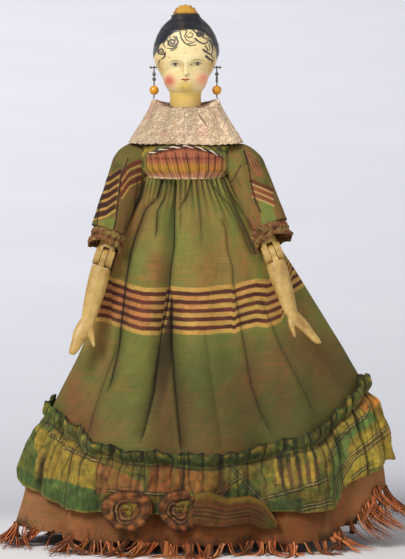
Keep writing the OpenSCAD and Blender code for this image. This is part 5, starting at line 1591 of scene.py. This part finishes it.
# The materials and the pieces.
M = {
    "skirt": fabric("olive_silk", 0.5, 0.2, 0.4),
    "flounce": fabric("flounce_silk", 0.5, 0.16, 0.35, 0.7, 0.05),
    "petticoat": fabric("terracotta_silk", 0.55, 0.2, 0.45, 0.8, 0.03, 0.16),
    "fringe": fabric("frayed_threads", 0.4, 0.2, 0.3, 0.85),
    "rosette": fabric("rolled_silk", 0.5, 0.16, 0.35, 0.75),
    "ribbon": fabric("ribbon_silk", 0.5, 0.16, 0.35, 0.72),
    "bodice": fabric("bodice_silk", 0.45, 0.16, 0.35, 0.7),
    "sleeve": fabric("sleeve_silk", 0.5, 0.18, 0.35),
    "cuff": fabric("cuff_silk", 0.5, 0.18, 0.4, 0.78),
    "cord": fabric("cord_silk", 0.4, 0.1, 0.3, 0.6, 0.2),
    "lace": lace_finish(),
    "head": head_finish(),
    "wood_paint": painted_wood("aged_gesso"),
    "bare": bare_wood("whittled_pegs"),
    "comb": comb_gold("comb_paint"),
    "brass": metal("tarnished_brass", (150, 118, 62)),
    "dark_wire": metal("dark_wire", (84, 68, 52), 0.5),
    "glass": bead("clear_beads", (150, 146, 138), 0.08, 0.6),
    "amber": bead("amber_beads", (250, 172, 24), 0.16, 0.12),
}

# The finishes of the nodes that keep their own shape.
plain = [("tuck_comb", "comb"), ("shoulder_dowel", "bare"), ("hip_dowel", "bare")]
for word in ("left_", "right_"):
    plain += [(word + node, key) for node, key in
              (("elbow_peg", "bare"), ("knee_peg", "bare"), ("ear_pin", "brass"),
               ("earring_wire", "dark_wire"), ("glass_beads", "glass"), ("amber_bead", "amber"),
               ("upper_arm", "wood_paint"), ("thigh", "wood_paint"), ("lower_leg", "wood_paint"))]
for node, key in plain:
    for s in NODES[node].material_slots:
        s.material = M[key]

make_head()
make_hair_knot()
make_torso()
make_skirt()
make_petticoat()
make_flounce()
make_rosette("outer_rose", px_x(128), 23.3, 13.0, 10.6, 61, "outer_rosette")
make_rosette("inner_rose", px_x(180.3), 23.8, 10.9, 11.2, 67, "inner_rosette")
make_ribbon()
make_bodice()
make_cord()
make_collar()
for side in (LEFT, RIGHT):
    make_sleeve(side)
    make_cuff(side)
    make_forearm(side)


# Floor, light and camera: half the floor's side and the camera's distance in m, the sensor's height in mm.
FLOOR_HALF, CAMERA_AWAY, SENSOR = 30.0, 5.0, 36.0


def stage():
    f = Finish("pale_floor", 0.9)
    f.b.inputs["Specular IOR Level"].default_value = 0.1
    rest = f.object_place()
    y = f.part(rest, 1)
    far = f.clamp(f.math("MULTIPLY_ADD", y, 18.0, -1.05))
    n = f.noise(rest, 6.0, 2.0)
    near = f.mix(n, linear(rgb(226, 222, 220)), linear(rgb(236, 233, 232)))
    back = f.mix(n, linear(rgb(238, 237, 243)), linear(rgb(248, 247, 252)))
    # painted shade: the backdrop darker near the doll and towards the viewer's right, and the near floor
    # darker towards the right
    depth = f.ramp(f.math("MULTIPLY", y, 0.5),
                   [(0.04, 0.67), (0.12, 0.73), (0.25, 0.81), (0.55, 0.9), (1.0, 0.96)])
    side = f.ramp(f.math("MULTIPLY_ADD", f.part(rest, 0), 2.5, 0.5), [(0.1, 1.0), (0.9, 0.9)])
    shade_level = f.math("MULTIPLY", depth, side)
    low = f.ramp(f.math("MULTIPLY_ADD", f.part(rest, 0), 2.5, 0.5), [(0.48, 1.0), (0.8, 0.84)])
    near = f.mix(1.0, near, f.grey(low, f.math("MULTIPLY", low, 0.99)), "MULTIPLY")
    f.colour(f.mix(far, near, f.mix(1.0, back, f.grey(shade_level), "MULTIPLY")))
    me = bpy.data.meshes.new("floor")
    s = FLOOR_HALF
    me.from_pydata([(-s, -s, 0), (s, -s, 0), (s, s, 0), (-s, s, 0)], [], [(0, 1, 2, 3)])
    me.materials.append(f.m)
    o = add_object("floor", me)
    world = bpy.data.worlds.new("studio")
    bpy.context.scene.world = world
    world.use_nodes = True
    world.node_tree.nodes["Background"].inputs[0].default_value = (*linear(rgb(236, 238, 246)), 1)
    world.node_tree.nodes["Background"].inputs[1].default_value = 0.42


def sun(name, azimuth, elevation, strength, angle, colour=(1, 1, 1)):
    d = bpy.data.lights.new(name, "SUN")
    d.energy, d.angle, d.color = strength, math.radians(angle), colour
    o = add_object(name, d)
    a, e = math.radians(azimuth), math.radians(elevation)
    towards = Vector((math.sin(a) * math.cos(e), -math.cos(a) * math.cos(e), math.sin(e)))
    o.rotation_euler = towards.to_track_quat("Z", "Y").to_euler()


def camera():
    d = bpy.data.cameras.new("camera")
    d.sensor_fit = "VERTICAL"
    d.sensor_height = SENSOR
    d.lens = SENSOR * CAMERA_AWAY / (FRAME_H * PX * MM)
    o = add_object("camera", d)
    up = (PX_Y0 - FRAME_H / 2 - 0.8) * PX * MM
    target = Vector(((FRAME_W / 2 - PX_X0) * PX * MM, 0, up / math.cos(TILT)))
    o.location = target + CAMERA_AWAY * Vector((0, -math.cos(TILT), math.sin(TILT)))
    o.rotation_euler = (math.pi / 2 - TILT, 0, 0)
    d.clip_end = 60
    bpy.context.scene.camera = o


stage()
sun("key", -38, 42, 2.6, 24)
sun("fill", 48, 22, 0.7, 50, (1.0, 0.98, 0.95))
camera()
bpy.context.scene.view_settings.view_transform = "Standard"
